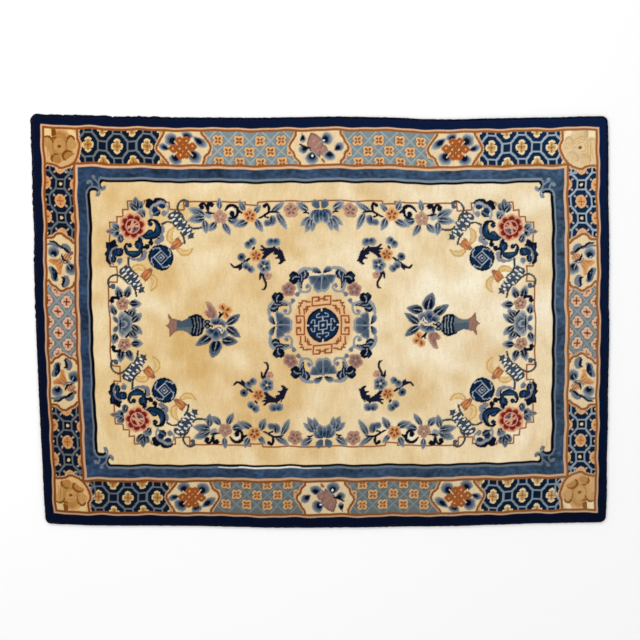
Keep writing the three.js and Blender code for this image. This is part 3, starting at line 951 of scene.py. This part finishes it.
def draw_vase(place):
    """A vase on its side, with a bunch of flowers."""
    spot = place.at(-600, 0)
    base = [
        (-142, 53), (-124, 31), (-102, 24), (-98, -2), (-102, -28), (-118, -40), (-140, -58), (-141, -20),
        (-158, -4), (-142, 8),
    ]
    fill(spot, "crown", base)
    fill(spot, "mauve", [(-124 + (x + 124) * 0.72, (y + 2) * 0.72 - 2) for x, y in base])
    for run in (
        [(-116, 22), (-122, -2), (-116, -34)], [(-136, 40), (-130, 14), (-138, 2)],
        [(-136, -10), (-132, -46)],
    ):
        line(spot, "crown", (3, 6, 3), run)
    body = [
        (-102, 20), (-80, 19), (-60, 26), (-40, 38), (-14, 47), (6, 44), (24, 28), (31, 10), (30, -16),
        (22, -36), (8, -52), (-14, -57), (-40, -46), (-62, -33), (-80, -27), (-102, -27),
    ]
    fill(spot, "leaf_blue", body)
    fill(spot, "vase_grey", [(-102, -2), (-60, -4), (-32, -2), (-30, -52), (-62, -33), (-102, -26)])
    fill(spot, "vase_blue", [(-100, 12), (-64, 16), (-34, 18), (-34, -10), (-64, -12), (-100, -12)])
    fill(
        spot, "ink",
        [(-36, 38), (-14, 47), (6, 44), (22, 30), (24, -34), (8, -52), (-14, -57), (-36, -48), (-30, -6)],
    )
    for run in (
        [(-24, -40), (-17, -6), (-22, 34)], [(-8, -48), (-2, -8), (-6, 40)],
        [(7, -42), (12, -4), (8, 32)],
    ):
        line(spot, "steel", 4.5, run)
    line(spot, "ink", 6, [(-44, 37), (-14, 48), (10, 42), (30, 18)])
    fill(spot, "smoke", [(23, -16), (23, 18), (38, 15), (38, -15)], rounded=False)
    for y in (12, -10):
        oval(spot, "ink", 43, y, 13, 12)
        oval(spot, "steel", 43, y, 6, 5)
    line(spot, "ink", (12, 8), [(50, -4), (70, -10)])
    # The bunch: a mauve bud, an orange flower, a peony seen from the side and its leaves
    bud = [
        (40, 111), (62, 108), (84, 84), (95, 60), (88, 36), (72, 26), (52, 30), (37, 42), (32, 58),
        (42, 70), (51, 66), (48, 90),
    ]
    fill(spot, "mauve_pale", bud)
    fill(spot, "mauve", [(64 + (x - 64) * 0.74, 46 + (y - 46) * 0.76) for x, y in bud])
    for run in ([(54, 34), (48, 46)], [(70, 34), (82, 54)], [(64, 62), (66, 84)]):
        line(spot, "mauve_dark", (4, 8, 4), run)
    ovals(spot, "orange_pale", (123, 84, 20), (151, 72, 19), (137, 44, 19))
    ovals(spot, "orange", (123, 84, 14), (151, 72, 13), (137, 44, 13), (135, 66, 14))
    for run in ([(130, 70), (122, 90)], [(138, 68), (154, 73)], [(134, 58), (142, 40)]):
        line(spot, "umber", (4, 11, 6), run)
    lines(
        spot, "black", ((11, 12, 8), [(102, 37), (112, 48), (124, 55)]), ((8, 10), [(106, 60), (112, 50)]),
    )
    leaves(
        spot, SLATE_LEAF, (133, 0, 32, 92, 36, 0.1), (136, -12, -32, 82, 42, -0.05),
        (111, -74, -12, 80, 48, 0.1), (64, -50, 222, 92, 46, -0.16), (88, -72, 266, 92, 62, -0.16),
        widest=0.42, blunt=0.7, vein="leaf",
    )
    leaves(
        spot, ("leaf", "smoke", "leaf_blue", "deep"), (92, 2, 62, 34, 50), (88, -2, 128, 40, 36),
        (92, -6, 20, 46, 40), (94, -22, 316, 56, 50), (84, -24, 268, 58, 48), (80, -20, 214, 52, 40),
        widest=0.6, blunt=0.6,
    )
    oval(spot, "leaf_blue", 92, -16, 22, 18)
    line(spot, "cream", (8, 12, 11, 8, 4), [(68, -20), (84, -8), (106, -6), (122, -22), (114, -42)])
    line(spot, "white", (4, 8, 4), [(94, -16), (108, -26), (110, -40)])
    line(spot, "smoke", 5, [(80, -20), (96, -26), (100, -40)])


def draw_wreath(place):
    """One eighth of the medallion's wreath, from the top towards the corner."""
    lines(
        place, "leaf",
        ((10, 20, 22, 16, 8), [(-114, 232), (-108, 254), (-86, 269), (-60, 273), (-38, 270)]),
        ((14, 13, 14, 15, 14), [(-113, 236), (-118, 206), (-108, 180), (-103, 162), (-114, 150)]),
        ((12, 12, 12, 12), [(-104, 166), (-82, 160), (-58, 170), (-56, 188), (-68, 197)]),
    )
    ovals(place, "smoke", (-70, 187, 9), (-118, 148, 11))
    fill(
        place, "ink",
        [(-92, 174), (-91, 206), (-84, 222), (-70, 226), (-63, 242), (-66, 258), (-80, 266), (-98, 254),
         (-113, 238), (-111, 210), (-104, 184)],
    )
    fill(
        place, "deep",
        [(-98, 190), (-96, 216), (-84, 232), (-70, 240), (-78, 256), (-96, 246), (-106, 228)],
    )
    lines(
        place, "leaf", ((3, 6, 3), [(-84, 262), (-81, 246), (-88, 228)]),
        ((3, 5, 3), [(-102, 246), (-98, 226), (-100, 210)]), ((3, 4), [(-106, 206), (-98, 186)]),
    )
    fill(
        place, "ink",
        [(-142, 258), (-158, 242), (-155, 228), (-159, 214), (-148, 199), (-130, 197), (-116, 208),
         (-112, 238), (-124, 254)],
    )
    oval(place, "deep", -143, 236, 9)
    line(place, "leaf", (4, 6), [(-144, 221), (-130, 232), (-112, 231)])
    # The half lotus that each pair of scrolls meets in
    for yarn, share in zip(LOTUS_PETAL, (1, 0.8, 0.58, 0.3)):
        for foot, petal in (
            ((-12, 248), [(-50, 276), (-28, 281), (-10, 268), (-3, 247), (-28, 251), (-48, 258)]),
            ((-34, 232), [(-66, 239), (-62, 216), (-56, 200), (-44, 194), (-26, 204), (-12, 238)]),
            ((-14, 222), [(-38, 204), (-42, 184), (-30, 164), (-12, 157), (2, 170), (2, 238), (-18, 236)]),
        ):
            fill(place, yarn, foot + (np.array(petal) - foot) * share)
    lines(
        place, "leaf_blue", ((10, 8), [(-38, 229), (-22, 230)]),
        ((6, 9, 6), [(-16, 214), (-16, 196), (-15, 184)]),
    )
    line(place, "ink", (4, 10, 5), [(-34, 257), (-16, 254), (-5, 249)])


def draw_medallion():
    oval(WHOLE, "medallion_pale", 0, 0, 151)
    oval(WHOLE, "medallion", 0, 0, 139)
    for place in QUARTERS:
        for part in (place, place.at(0, 0, 270, stretch=(1, -0.93))):
            draw_wreath(part)
            line(part, "fret_line", 8, [(-28, 117), (-13, 117), (-13, 137), (-45, 137), (-45, 95), (0, 95)],
                 rounded=False)
            line(part, "fret_line", 8, [(-55, 115), (-92, 118), (-92, 106), (-107, 106)], rounded=False)
            line(part, "fret_line", 8, [(-56, 92), (-72, 92)], rounded=False)
            line(part, "fret_line", 8, [(-66, 79), (-84, 79), (-84, 70)], rounded=False)
        rosette(place, -158, 172, 37, 5, 90, "mauve_pale", "mauve", "mauve_dark", "leaf")
    lines(WHOLE, "fret_line", (8, [(-4, 126), (4, 126)]), (8, [(-4, -126), (4, -126)]), rounded=False)
    oval(WHOLE, "ink", 0, 0, 79, 83)
    oval(WHOLE, "navy_bright", 0, 0, 71, 75)
    for turn in CROSSWISE:
        for hand in (1, -1):
            side = WHOLE.at(0, 0, turn).at(0, 0, stretch=(1, hand))
            line(side, "disc_line", 4, [(22, 0), (22, 22)], rounded=False)
            line(side, "disc_line", 4, [(40, 8), (40, 27), (51, 27), (57, 14)], rounded=False)
        line(WHOLE.at(0, 0, turn), "disc_line", 4, [(22, 0), (42, 0)], rounded=False)
        line(WHOLE.at(0, 0, turn), "cream", 6, [(70, 0), (82, 0)], rounded=False)
    oval(WHOLE, "disc_line", 0, 0, 6, 9)


def draw_rug():
    draw_border()
    draw_bands()
    for place in QUARTERS:
        draw_blue_corner(place)
        draw_corner(place)
        draw_long_run(place)
        draw_short_run(place)
        draw_spray(place)
    for place in ENDS:
        draw_short_middle(place)
    draw_vase(WHOLE)
    draw_vase(WHOLE.at(0, 0, 180))
    draw_medallion()


draw_rug()

# From the even chart to the rug as it lies, in millimetres seen from above

# Where the four edges would meet if they met square: the rug is not quite a rectangle
FRONT_LEFT = np.array([-1322.6, -978.4])
FRONT_RIGHT = np.array([1378.4, -971.4])
BACK_RIGHT = np.array([1388.4, 988.6])
BACK_LEFT = np.array([-1397.6, 998.6])
CORNER_RADIUS = 30          # the corners are worn round
DRAWN_FORWARD = 14          # the middle of the rug lies this much towards its front edge
WAIST = 4.05                # height of the frame's widest ring, which is the outline seen from above
WANDER = 45                 # no edge strays further than this from its straight line
EDGE_FADE = 45              # the edge's own unevenness has faded out this far in, and the rows' has begun


def outline_ring():
    """The frame's own outline, as points seen from above."""
    spots = np.array([vertex.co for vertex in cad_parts["rug"].data.vertices]) / MM
    return spots[np.abs(spots[:, 2] - WAIST) < 0.1, :2]


RING = outline_ring()


def edge_line(start, end):
    """One uneven edge of the rug, as points at shares of the way along it."""
    along = end - start
    length = np.linalg.norm(along)
    outward = np.array([along[1], -along[0]]) / length
    share = (RING - start) @ along / length ** 2
    stray = (RING - start) @ outward
    near = (np.abs(stray) < WANDER) & (share > 0.02) & (share < 0.98)
    order = np.argsort(share[near])
    shares = np.r_[0, share[near][order], 1]
    strays = np.r_[0, stray[near][order], 0]

    def at(way):
        way = np.asarray(way)[..., None]
        return start + along * way + outward * np.interp(way, shares, strays)

    return at


FRONT_EDGE = edge_line(FRONT_LEFT, FRONT_RIGHT)
RIGHT_EDGE = edge_line(FRONT_RIGHT, BACK_RIGHT)
BACK_EDGE = edge_line(BACK_RIGHT, BACK_LEFT)
LEFT_EDGE = edge_line(BACK_LEFT, FRONT_LEFT)


# Single notches (-) and tufts (+) in the back edge, and their half width
BACK_TUFTS = ((-1228, -4), (-1166, 3), (-987, -4), (-862, 3), (-702, -3))
TUFT = 7


def tufted(way):
    """How far the worn tufts stand out along an edge, which no two stretches do alike."""
    return np.sin(way / 8.3 + 2.5 * np.sin(way / 47)) * (0.5 + np.sin(way / 83 + 2 * np.sin(way / 29)))


def ramp(way, start, end):
    """Rises from 0 at the start to 1 at the end."""
    return np.clip((way - start) / (end - start), 0, 1)


def lie(u, v):
    """Where points of the chart lie on the floor, between the rug's four uneven edges."""
    over_u = np.maximum(np.abs(u) - (HALF_LENGTH - CORNER_RADIUS), 0)
    over_v = np.maximum(np.abs(v) - (HALF_WIDTH - CORNER_RADIUS), 0)
    drawn_in = 1 - np.maximum(over_u, over_v) / np.maximum(np.hypot(over_u, over_v), 1e-9)
    right = ((u - np.sign(u) * over_u * drawn_in) / HALF_LENGTH + 1) / 2
    back = ((v - np.sign(v) * over_v * drawn_in) / HALF_WIDTH + 1) / 2
    r, b = right[..., None], back[..., None]
    spot = (1 - b) * FRONT_EDGE(right) + b * BACK_EDGE(1 - right)
    spot += (1 - r) * LEFT_EDGE(1 - back) + r * RIGHT_EDGE(back)
    spot -= (1 - r) * ((1 - b) * FRONT_LEFT + b * BACK_LEFT) + r * ((1 - b) * FRONT_RIGHT + b * BACK_RIGHT)
    spot[..., 1] -= DRAWN_FORWARD * np.maximum(1 - (2 * back - 1) ** 2, 0) ** 1.5
    # The rows wander a little, as wefts beaten down by hand do
    inner = np.clip(np.minimum(HALF_LENGTH - np.abs(u), HALF_WIDTH - np.abs(v)) / EDGE_FADE, 0, 1)
    spot[..., 0] += inner * (2 * np.sin(v / 39 + 1.7) + np.sin(v / 17))
    spot[..., 1] += inner * (2.2 * np.sin(u / 47 + 1.3 * np.sin(u / 173)) + 1.2 * np.sin(u / 19 + v / 300))
    # The bands were not kept quite even: they stand further in at the back left, further out along the front
    spot[..., 0] += 5 * inner * ramp(u, -1020, -1100) * ramp(v, 0, 500)
    inner_bands = ramp(v, -600, -670) * ramp(v, -900, -770)
    spot[..., 1] -= inner_bands * (2.5 + 8 * ramp(u, -200, -800))
    # The very edge is ragged with worn tufts, most of all at the left of the back edge
    worn = (1 - inner) * np.where((v > 0) & (u < -600), 1.5, 0.6)
    spot[..., 0] += np.clip(np.abs(u) - HALF_LENGTH + EDGE_FADE, 0, 1) * worn * tufted(v)
    spot[..., 1] += np.clip(np.abs(v) - HALF_WIDTH + EDGE_FADE, 0, 1) * worn * tufted(u)
    for along, out in BACK_TUFTS:
        spot[..., 1] += (1 - inner) * (v > HALF_WIDTH - EDGE_FADE) * out * np.exp(-((u - along) / TUFT) ** 2)
    return spot


# Unevenness of hand work and wear

dice = np.random.default_rng(1935)


def clouds(reach, along=None):
    """Smooth unevenness over all knots, with patches about as wide and as long as the given millimetres."""
    noise = np.fft.rfft2(dice.standard_normal((ROWS, COLUMNS)))
    down = np.fft.fftfreq(ROWS, KNOT)[:, None] * (along or reach)
    over = np.fft.rfftfreq(COLUMNS, KNOT)[None, :] * reach
    smooth = np.fft.irfft2(noise * np.exp(-4 * (down ** 2 + over ** 2)), (ROWS, COLUMNS))
    return (smooth - smooth.mean()) / smooth.std()


def srgb(colour):
    """A hex colour as three shares."""
    return np.array([int(colour[i:i + 2], 16) for i in (1, 3, 5)]) / 255


def to_linear(shares):
    """sRGB shares as the linear light that the shaders work in."""
    shares = np.clip(shares, 0, 1)
    return np.where(shares <= 0.04045, shares / 12.92, ((shares + 0.055) / 1.055) ** 2.4)


STUDIO_LIGHT = 1.12         # how much brighter than its own colour a matt thing looks in this light
WOOL_GLINT = 0.003          # light that comes off the wool's surface without taking its colour
DARKEST = 0.0008            # no yarn is quite black

IVORY = "#E8CD9C"           # the middle shade of the ground
AGED_IVORY = "#D9B478"
PALE_IVORY = "#F6E6C4"
BLEACHED_GOLD = "#F6DFB4"   # the golds of the back right corner have all but faded into this
CORNER_GOLDS = ("rosette", "rosette_pale", "rosette_light", "rosette_line")

# Golden patches where the ivory ground has aged, paler ones, and the back right corner where the golds
# have faded, each given as its place on the chart, its reach and its strength
AGED = (
    (-1000, 620, 260, 0.5), (-560, -150, 240, 0.6), (-300, -330, 220, 0.4), (500, -330, 260, 0.4),
    (-120, 420, 200, 0.2), (-60, -400, 160, 0.3), (-400, 180, 160, 0.25), (-230, 20, 150, 0.5),
    (40, 560, 260, 0.3), (820, 620, 200, 0.45), (860, -520, 200, 0.5), (-420, -480, 160, 0.3),
)
PALER = (
    (800, 460, 360, 0.35), (330, 40, 330, 0.65), (-1040, 160, 200, 0.6), (800, 60, 260, 0.3),
    (-560, 330, 240, 0.3), (-800, -560, 260, 0.3),
)
FADED = ((1246, 841, 230, 0.75),)


def patch(x, y, reach):
    """A soft round patch over the knots: 1 at its middle, fading out over its reach."""
    return np.exp(-((ACROSS[None, :] - x) ** 2 + (UP[:, None] - y) ** 2) / reach ** 2)


def patches(rows):
    """Several soft patches together."""
    return sum(strength * patch(x, y, reach) for x, y, reach, strength in rows)


def made_of(*names):
    """Which knots are of these yarns."""
    return np.isin(CHART, [YARN_NUMBER[name] for name in names])[..., None]


def yarn_colours():
    """The colour of every knot as the eye sees it: its yarn, dye lot, painted sheen (paler at the back,
    darker at the front), age and spinning.
    """
    yarns = [(*yarn, 0, 0)[:4] for yarn in YARNS.values()]
    left, right = (np.array([srgb(yarn[side]) for yarn in yarns])[CHART] for side in (0, 1))
    sheen_at_left, sheen_at_right = (np.array([yarn[side] for yarn in yarns])[CHART][..., None] for side in (2, 3))
    way = np.clip(ACROSS / HALF_LENGTH / 2 + 0.5, 0, 1)[None, :, None]
    colour = left + (right - left) * way
    # Painted sheen: the knots are made paler towards the back and darker towards the front, as the nap looks
    # in the light
    painted_sheen = sheen_at_left + (sheen_at_right - sheen_at_left) * way
    colour = colour * (1 + painted_sheen * (UP / HALF_WIDTH)[:, None, None])
    # The ivory ground ages in patches, the blue band was dyed in many small lots
    aged = np.clip(0.2 * clouds(55) + 0.2 * clouds(170) + patches(AGED), 0, 1)
    paler = np.clip(0.24 * clouds(80) + patches(PALER), 0, 1)
    ground = made_of("field")
    colour += ground * aged[..., None] * (srgb(AGED_IVORY) - srgb(IVORY))
    colour += ground * paler[..., None] * (srgb(PALE_IVORY) - srgb(IVORY))
    faded = made_of(*CORNER_GOLDS) * patches(FADED)[..., None]
    colour += faded * (srgb(BLEACHED_GOLD) - colour)
    band = made_of("blue", "blue_dark")
    colour *= 1 + band * (0.1 * clouds(14, 10) + 0.07 * clouds(60))[..., None]
    colour *= 1 + 0.01 * clouds(7, 30)[..., None] + 0.02 * dice.standard_normal((ROWS, COLUMNS, 1))
    return np.maximum(to_linear(colour) - WOOL_GLINT, DARKEST) / STUDIO_LIGHT


# Heights of the pile, in millimetres: in from the rug's edge, and how high the clipped tips stand there
PILE_HEIGHT = 12.9
PILE_EDGE = ((8.4, 3.2), (11, 10.2), (14, 12), (19, PILE_HEIGHT))
CARVED = 1.5                # the shears cut this deep along the strongest changes of colour
LEFT_UNCARVED = 15          # but not so near the edge


def pile_heights():
    """How high the clipped tip of every knot stands."""
    inward = np.minimum(HALF_LENGTH - np.abs(ACROSS)[None, :], HALF_WIDTH - np.abs(UP)[:, None])
    height = np.interp(inward, *np.array(PILE_EDGE).T)
    tone = np.array([srgb(yarn[0]).mean() for yarn in YARNS.values()])[CHART]
    change = np.zeros((ROWS, COLUMNS))
    change[:, :-1] = np.abs(np.diff(tone, axis=1))
    change[:-1] = np.maximum(change[:-1], np.abs(np.diff(tone, axis=0)))
    height -= CARVED * np.clip(change * 3, 0, 1) * (inward > LEFT_UNCARVED)
    # No shears cut quite level, and single tufts stand up
    height += 0.3 * clouds(260) + 0.12 * clouds(30)
    height += 0.1 * dice.standard_normal((ROWS, COLUMNS)) * (inward > 12)
    return height


# Materials


def node(tree, kind, values=None, links=None, **settings):
    """Adds a node with its settings, the values of its sockets and what is linked into them."""
    made = tree.nodes.new(kind)
    for name, value in settings.items():
        setattr(made, name, value)
    for socket, value in (values or {}).items():
        made.inputs[socket].default_value = value
    for socket, source in (links or {}).items():
        tree.links.new(source, made.inputs[socket])
    return made


def new_material(name):
    """A material with no nodes yet."""
    material = bpy.data.materials.new(name)
    material.use_nodes = True
    material.node_tree.nodes.clear()
    return material, material.node_tree


def per_metre(millimetres):
    """The scale of a noise whose features are this wide."""
    return 1000 / millimetres


def yarn_material(name, grain_kind, grain, shades, relief, surface, **settings):
    """A material in the yarns' own colours, which its grain makes uneven in tone and rough to the light."""
    material, tree = new_material(name)
    place = node(tree, "ShaderNodeTexCoord").outputs["Object"]
    dyed = node(tree, "ShaderNodeAttribute", attribute_name="yarn")
    tone = node(tree, grain_kind, grain, {"Vector": place}, **settings).outputs["Fac"]
    spun = node(tree, "ShaderNodeMapRange", {"To Min": shades[0], "To Max": shades[1]}, {"Value": tone})
    shade = node(tree, "ShaderNodeVectorMath", None,
                 {0: dyed.outputs["Color"], 1: spun.outputs["Result"]}, operation="MULTIPLY")
    strength, height = relief
    bump = node(tree, "ShaderNodeBump", {"Strength": strength, "Distance": height * MM}, {"Height": tone})
    stuff = node(tree, "ShaderNodeBsdfPrincipled", surface,
                 {"Base Color": shade.outputs["Vector"], "Normal": bump.outputs["Normal"]})
    node(tree, "ShaderNodeOutputMaterial", None, {"Surface": stuff.outputs["BSDF"]})
    return material


def clipped_wool_pile():
    """Hand-spun wool, knotted and clipped: dull and soft, with the tips of single tufts just to be seen."""
    return yarn_material(
        "clipped_wool_pile", "ShaderNodeTexNoise", {"Scale": per_metre(KNOT), "Detail": 3, "Roughness": 0.6},
        shades=(0.9, 1.1), relief=(0.5, 0.8),
        surface={"Roughness": 0.95, "Specular IOR Level": 0.03,
                 "Sheen Weight": 0.015, "Sheen Roughness": 0.6},
    )


def overcast_wool():
    """The same navy wool wound round the edge cord: smoother than pile, with the yarn's twist in it."""
    return yarn_material(
        "overcast_wool", "ShaderNodeTexNoise", {"Scale": per_metre(2), "Detail": 2, "Roughness": 0.5},
        shades=(0.8, 1.25), relief=(0.4, 0.5),
        surface={"Roughness": 0.85, "Specular IOR Level": 0.05,
                 "Sheen Weight": 0.02, "Sheen Roughness": 0.5},
    )


def woven_back():
    """Cotton warps and wefts with the knots' backs in rows: flatter and paler than the pile, and ribbed."""
    return yarn_material(
        "woven_back", "ShaderNodeTexWave",
        {"Scale": per_metre(KNOT) / 20 * math.pi, "Distortion": 0.6, "Detail": 1},
        shades=(0.82, 1.08), relief=(0.6, 0.6), surface={"Roughness": 0.9, "Specular IOR Level": 0.2},
        wave_type="BANDS", bands_direction="Y",
    )


# Pieces


def piece_of(name, spots, faces, colours, material, normals=None):
    """One piece of the rug from its points in millimetres, its faces and the linear colour of each point."""
    mesh = bpy.data.meshes.new(name)
    mesh.from_pydata((np.asarray(spots) * MM).tolist(), [], np.asarray(faces).tolist())
    mesh.shade_smooth()
    tint = mesh.attributes.new("yarn", "FLOAT_COLOR", "POINT")
    tint.data.foreach_set("color", np.c_[colours, np.ones(len(colours))].astype(np.float32).ravel())
    if normals is not None:
        mesh.normals_split_custom_set_from_vertices(normals.tolist())
    mesh.materials.append(material)
    piece = bpy.data.objects.new(name, mesh)
    bpy.context.scene.collection.objects.link(piece)
    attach(piece, "root")
    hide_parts("rug")
    return piece


def grid_faces(rows, columns):
    """The four-sided faces of a grid of points, seen from above."""
    first = (np.arange(rows - 1)[:, None] * columns + np.arange(columns - 1)[None, :]).ravel()
    return np.c_[first, first + 1, first + columns + 1, first + columns]


STRIPS = 6                  # the pile is one field of knots, kept as strips that share their edge knots


def knot_pile():
    """Every knot of the rug at its place, as strips from left to right."""
    plan = lie(*np.meshgrid(ACROSS, UP))
    height = pile_heights()
    spots = np.dstack([plan, height])
    right = np.gradient(spots, axis=1)
    back = np.gradient(spots, axis=0)
    normals = np.cross(right, back)
    normals /= np.linalg.norm(normals, axis=2, keepdims=True)
    colours = yarn_colours()
    wool = clipped_wool_pile()
    starts = np.linspace(0, COLUMNS - 1, STRIPS + 1).astype(int)
    strips = []
    for number, (first, last) in enumerate(zip(starts[:-1], starts[1:]), 1):
        part = slice(first, last + 1)
        width = last + 1 - first
        strips.append(piece_of(
            f"pile_{number}", spots[:, part].reshape(-1, 3), grid_faces(ROWS, width),
            colours[:, part].reshape(-1, 3), wool, normals[:, part].reshape(-1, 3),
        ))
    return strips, colours


WRAP = 5                    # from one turn of the overcasting to the next
CORD_SIDES = 8
CORD_HALF = (4.3, 4.4)      # half the width and half the height of the edge cord
CORD_INSET = CORD / 2 + 0.3
CORD_LIFT = 1.18            # the cord's middle stands this many of its half heights above the floor
RIDGE = 1.05                # the cord's swell at a turn of the wool and between two turns
GROOVE = 0.86
LEAN = 1.2                  # how far the turns lean along the cord


def overcast_cord():
    """The cord round the edge, with every turn of the navy wool that is wound over it."""
    half_u, half_v = HALF_LENGTH - CORD_INSET, HALF_WIDTH - CORD_INSET
    lengths = np.array([2 * half_u, 2 * half_v, 2 * half_u, 2 * half_v])
    turns = round(lengths.sum() / WRAP)
    way = np.arange(2 * turns) / (2 * turns) * lengths.sum()
    stops = np.r_[0, np.cumsum(lengths)]
    u = np.interp(way, stops, [-half_u, half_u, half_u, -half_u, -half_u])
    v = np.interp(way, stops, [-half_v, -half_v, half_v, half_v, -half_v])
    path = lie(u, v)
    ahead = np.roll(path, -2, 0) - np.roll(path, 2, 0)
    ahead /= np.linalg.norm(ahead, axis=1, keepdims=True)
    outward = np.c_[ahead[:, 1], -ahead[:, 0]]
    angle = 2 * math.pi * np.arange(CORD_SIDES) / CORD_SIDES
    # Every other ring of points lies in the groove between two turns
    swell = np.where(np.arange(2 * turns) % 2, GROOVE, RIDGE) + 0.03 * dice.standard_normal(2 * turns)
    aside = CORD_HALF[0] * swell[:, None] * np.cos(angle)[None, :]
    lift = CORD_HALF[1] * (CORD_LIFT + swell[:, None] * np.sin(angle)[None, :])
    lean = LEAN * np.cos(angle)[None, :, None] * ahead[:, None, :]
    spots = np.dstack([path[:, None, :] + outward[:, None, :] * aside[..., None] + lean, lift])
    ring = np.arange(2 * turns)[:, None] * CORD_SIDES
    side = np.arange(CORD_SIDES)[None, :]
    after = (ring + CORD_SIDES) % (2 * turns * CORD_SIDES)
    beside = (side + 1) % CORD_SIDES
    faces = np.dstack([ring + side, after + side, after + beside, ring + beside]).reshape(-1, 4)
    share = (u / HALF_LENGTH + 1)[:, None] / 2
    tint = srgb(YARNS["edge"][0]) * (1 - share) + srgb(YARNS["edge"][1]) * share
    # The cord's wool is painted a tenth darker than the edge yarn, as painted shade along the rug's rounded
    # edge, and no two turns quite alike
    tint = to_linear(tint * (0.9 + 0.05 * dice.standard_normal((2 * turns, 1)))) / STUDIO_LIGHT
    tints = np.repeat(tint, CORD_SIDES, 0)
    return piece_of("overcast_edge", spots.reshape(-1, 3), faces, tints, overcast_wool())


BACK_STEP = 3               # the back's points stand this many knots apart
BACK_RIM = 3                # height of the back's turned-up rim under the pile, and of the back itself
BACK_LEVEL = 0.2
BACK_OVERLAP = 2            # the back reaches this far under the cord
COTTON = "#CDBE9F"
SHOWS_THROUGH = 0.62        # the share of the yarns' colours in the back's


def foundation(colours):
    """The woven back, turned up to the cord at its rim, with the pattern showing in the knots' backs."""
    half_u, half_v = HALF_LENGTH - CORD + BACK_OVERLAP, HALF_WIDTH - CORD + BACK_OVERLAP
    columns = round(2 * half_u / KNOT / BACK_STEP)
    rows = round(2 * half_v / KNOT / BACK_STEP)
    u = np.linspace(-1, 1, columns) * half_u
    v = np.linspace(-1, 1, rows) * half_v
    plan = lie(*np.meshgrid(u, v))
    height = np.full((rows, columns), BACK_LEVEL)
    height[0] = height[-1] = BACK_RIM
    height[:, 0] = height[:, -1] = BACK_RIM
    over = np.clip(np.searchsorted(ACROSS, u), 0, COLUMNS - 1)
    up = np.clip(np.searchsorted(UP, v), 0, ROWS - 1)
    # The knots' colours bring the pile's painted sheen into the back as well
    tint = SHOWS_THROUGH * colours[np.ix_(up, over)] + (1 - SHOWS_THROUGH) * to_linear(srgb(COTTON))
    spots = np.dstack([plan, height]).reshape(-1, 3)
    faces = grid_faces(rows, columns)[:, ::-1]
    return piece_of("woven_back", spots, faces, tint.reshape(-1, 3), woven_back())


strips, knot_colours = knot_pile()
edge = overcast_cord()
back = foundation(knot_colours)

# The studio: a plain white floor, even light from all round and one large soft light for the pile

FLOOR_REACH = 9             # metres, like the rest of the studio
FLOOR_WHITE = 0.93
FLOOR_GAP = 0.3             # millimetres from the floor to the rug, so that their faces don't meet
EVEN_LIGHT = 0.92
SOFTBOX_SIZE = 2.5
SOFTBOX_POWER = 90
SOFTBOX_PLACE = (-2.6, 3.6, 3.4)


def studio():
    """The floor and the lights, which are no part of the rug."""
    floor_mesh = bpy.data.meshes.new("floor")
    corners = [(x * FLOOR_REACH, y * FLOOR_REACH, 0) for x, y in ((-1, -1), (1, -1), (1, 1), (-1, 1))]
    floor_mesh.from_pydata(corners, [], [(0, 1, 2, 3)])
    floor = bpy.data.objects.new("floor", floor_mesh)
    floor.location.z = -FLOOR_GAP * MM
    # White paint, rolled matt: it takes the rug's soft shadow and gives no glint
    material, tree = new_material("white_painted_floor")
    paint = node(tree, "ShaderNodeBsdfPrincipled", {
        "Base Color": (FLOOR_WHITE, FLOOR_WHITE, FLOOR_WHITE, 1),
        "Roughness": 0.9,
        "Specular IOR Level": 0.2,
    })
    node(tree, "ShaderNodeOutputMaterial", None, {"Surface": paint.outputs["BSDF"]})
    floor_mesh.materials.append(material)
    bpy.context.scene.collection.objects.link(floor)
    world = bpy.data.worlds.new("even_light")
    bpy.context.scene.world = world
    world.use_nodes = True
    sky = world.node_tree.nodes["Background"].inputs
    sky["Color"].default_value = (1, 1, 1, 1)
    sky["Strength"].default_value = EVEN_LIGHT
    lamp = bpy.data.lights.new("softbox", "AREA")
    lamp.shape = "DISK"
    lamp.size = SOFTBOX_SIZE
    lamp.energy = SOFTBOX_POWER
    softbox = bpy.data.objects.new("softbox", lamp)
    softbox.location = SOFTBOX_PLACE
    softbox.rotation_euler = (-softbox.location).to_track_quat("-Z", "Y").to_euler()
    softbox.visible_camera = False
    bpy.context.scene.collection.objects.link(softbox)


VIEW_WIDTH = 3.085          # metres of floor across the photograph
CAMERA_HEIGHT = 12
SENSOR_WIDTH = 36
RUG_OFF_CENTRE = (0.0007, 0.0043)   # metres


def photographer():
    """The camera, high above the rug and looking straight down."""
    camera = bpy.data.cameras.new("camera")
    camera.sensor_width = SENSOR_WIDTH
    camera.lens = SENSOR_WIDTH * CAMERA_HEIGHT / VIEW_WIDTH
    camera.clip_end = 100
    stand = bpy.data.objects.new("camera", camera)
    stand.location = (*RUG_OFF_CENTRE, CAMERA_HEIGHT + PILE_HEIGHT * MM)
    bpy.context.scene.collection.objects.link(stand)
    bpy.context.scene.camera = stand
    bpy.context.scene.view_settings.view_transform = "Standard"


studio()
photographer()
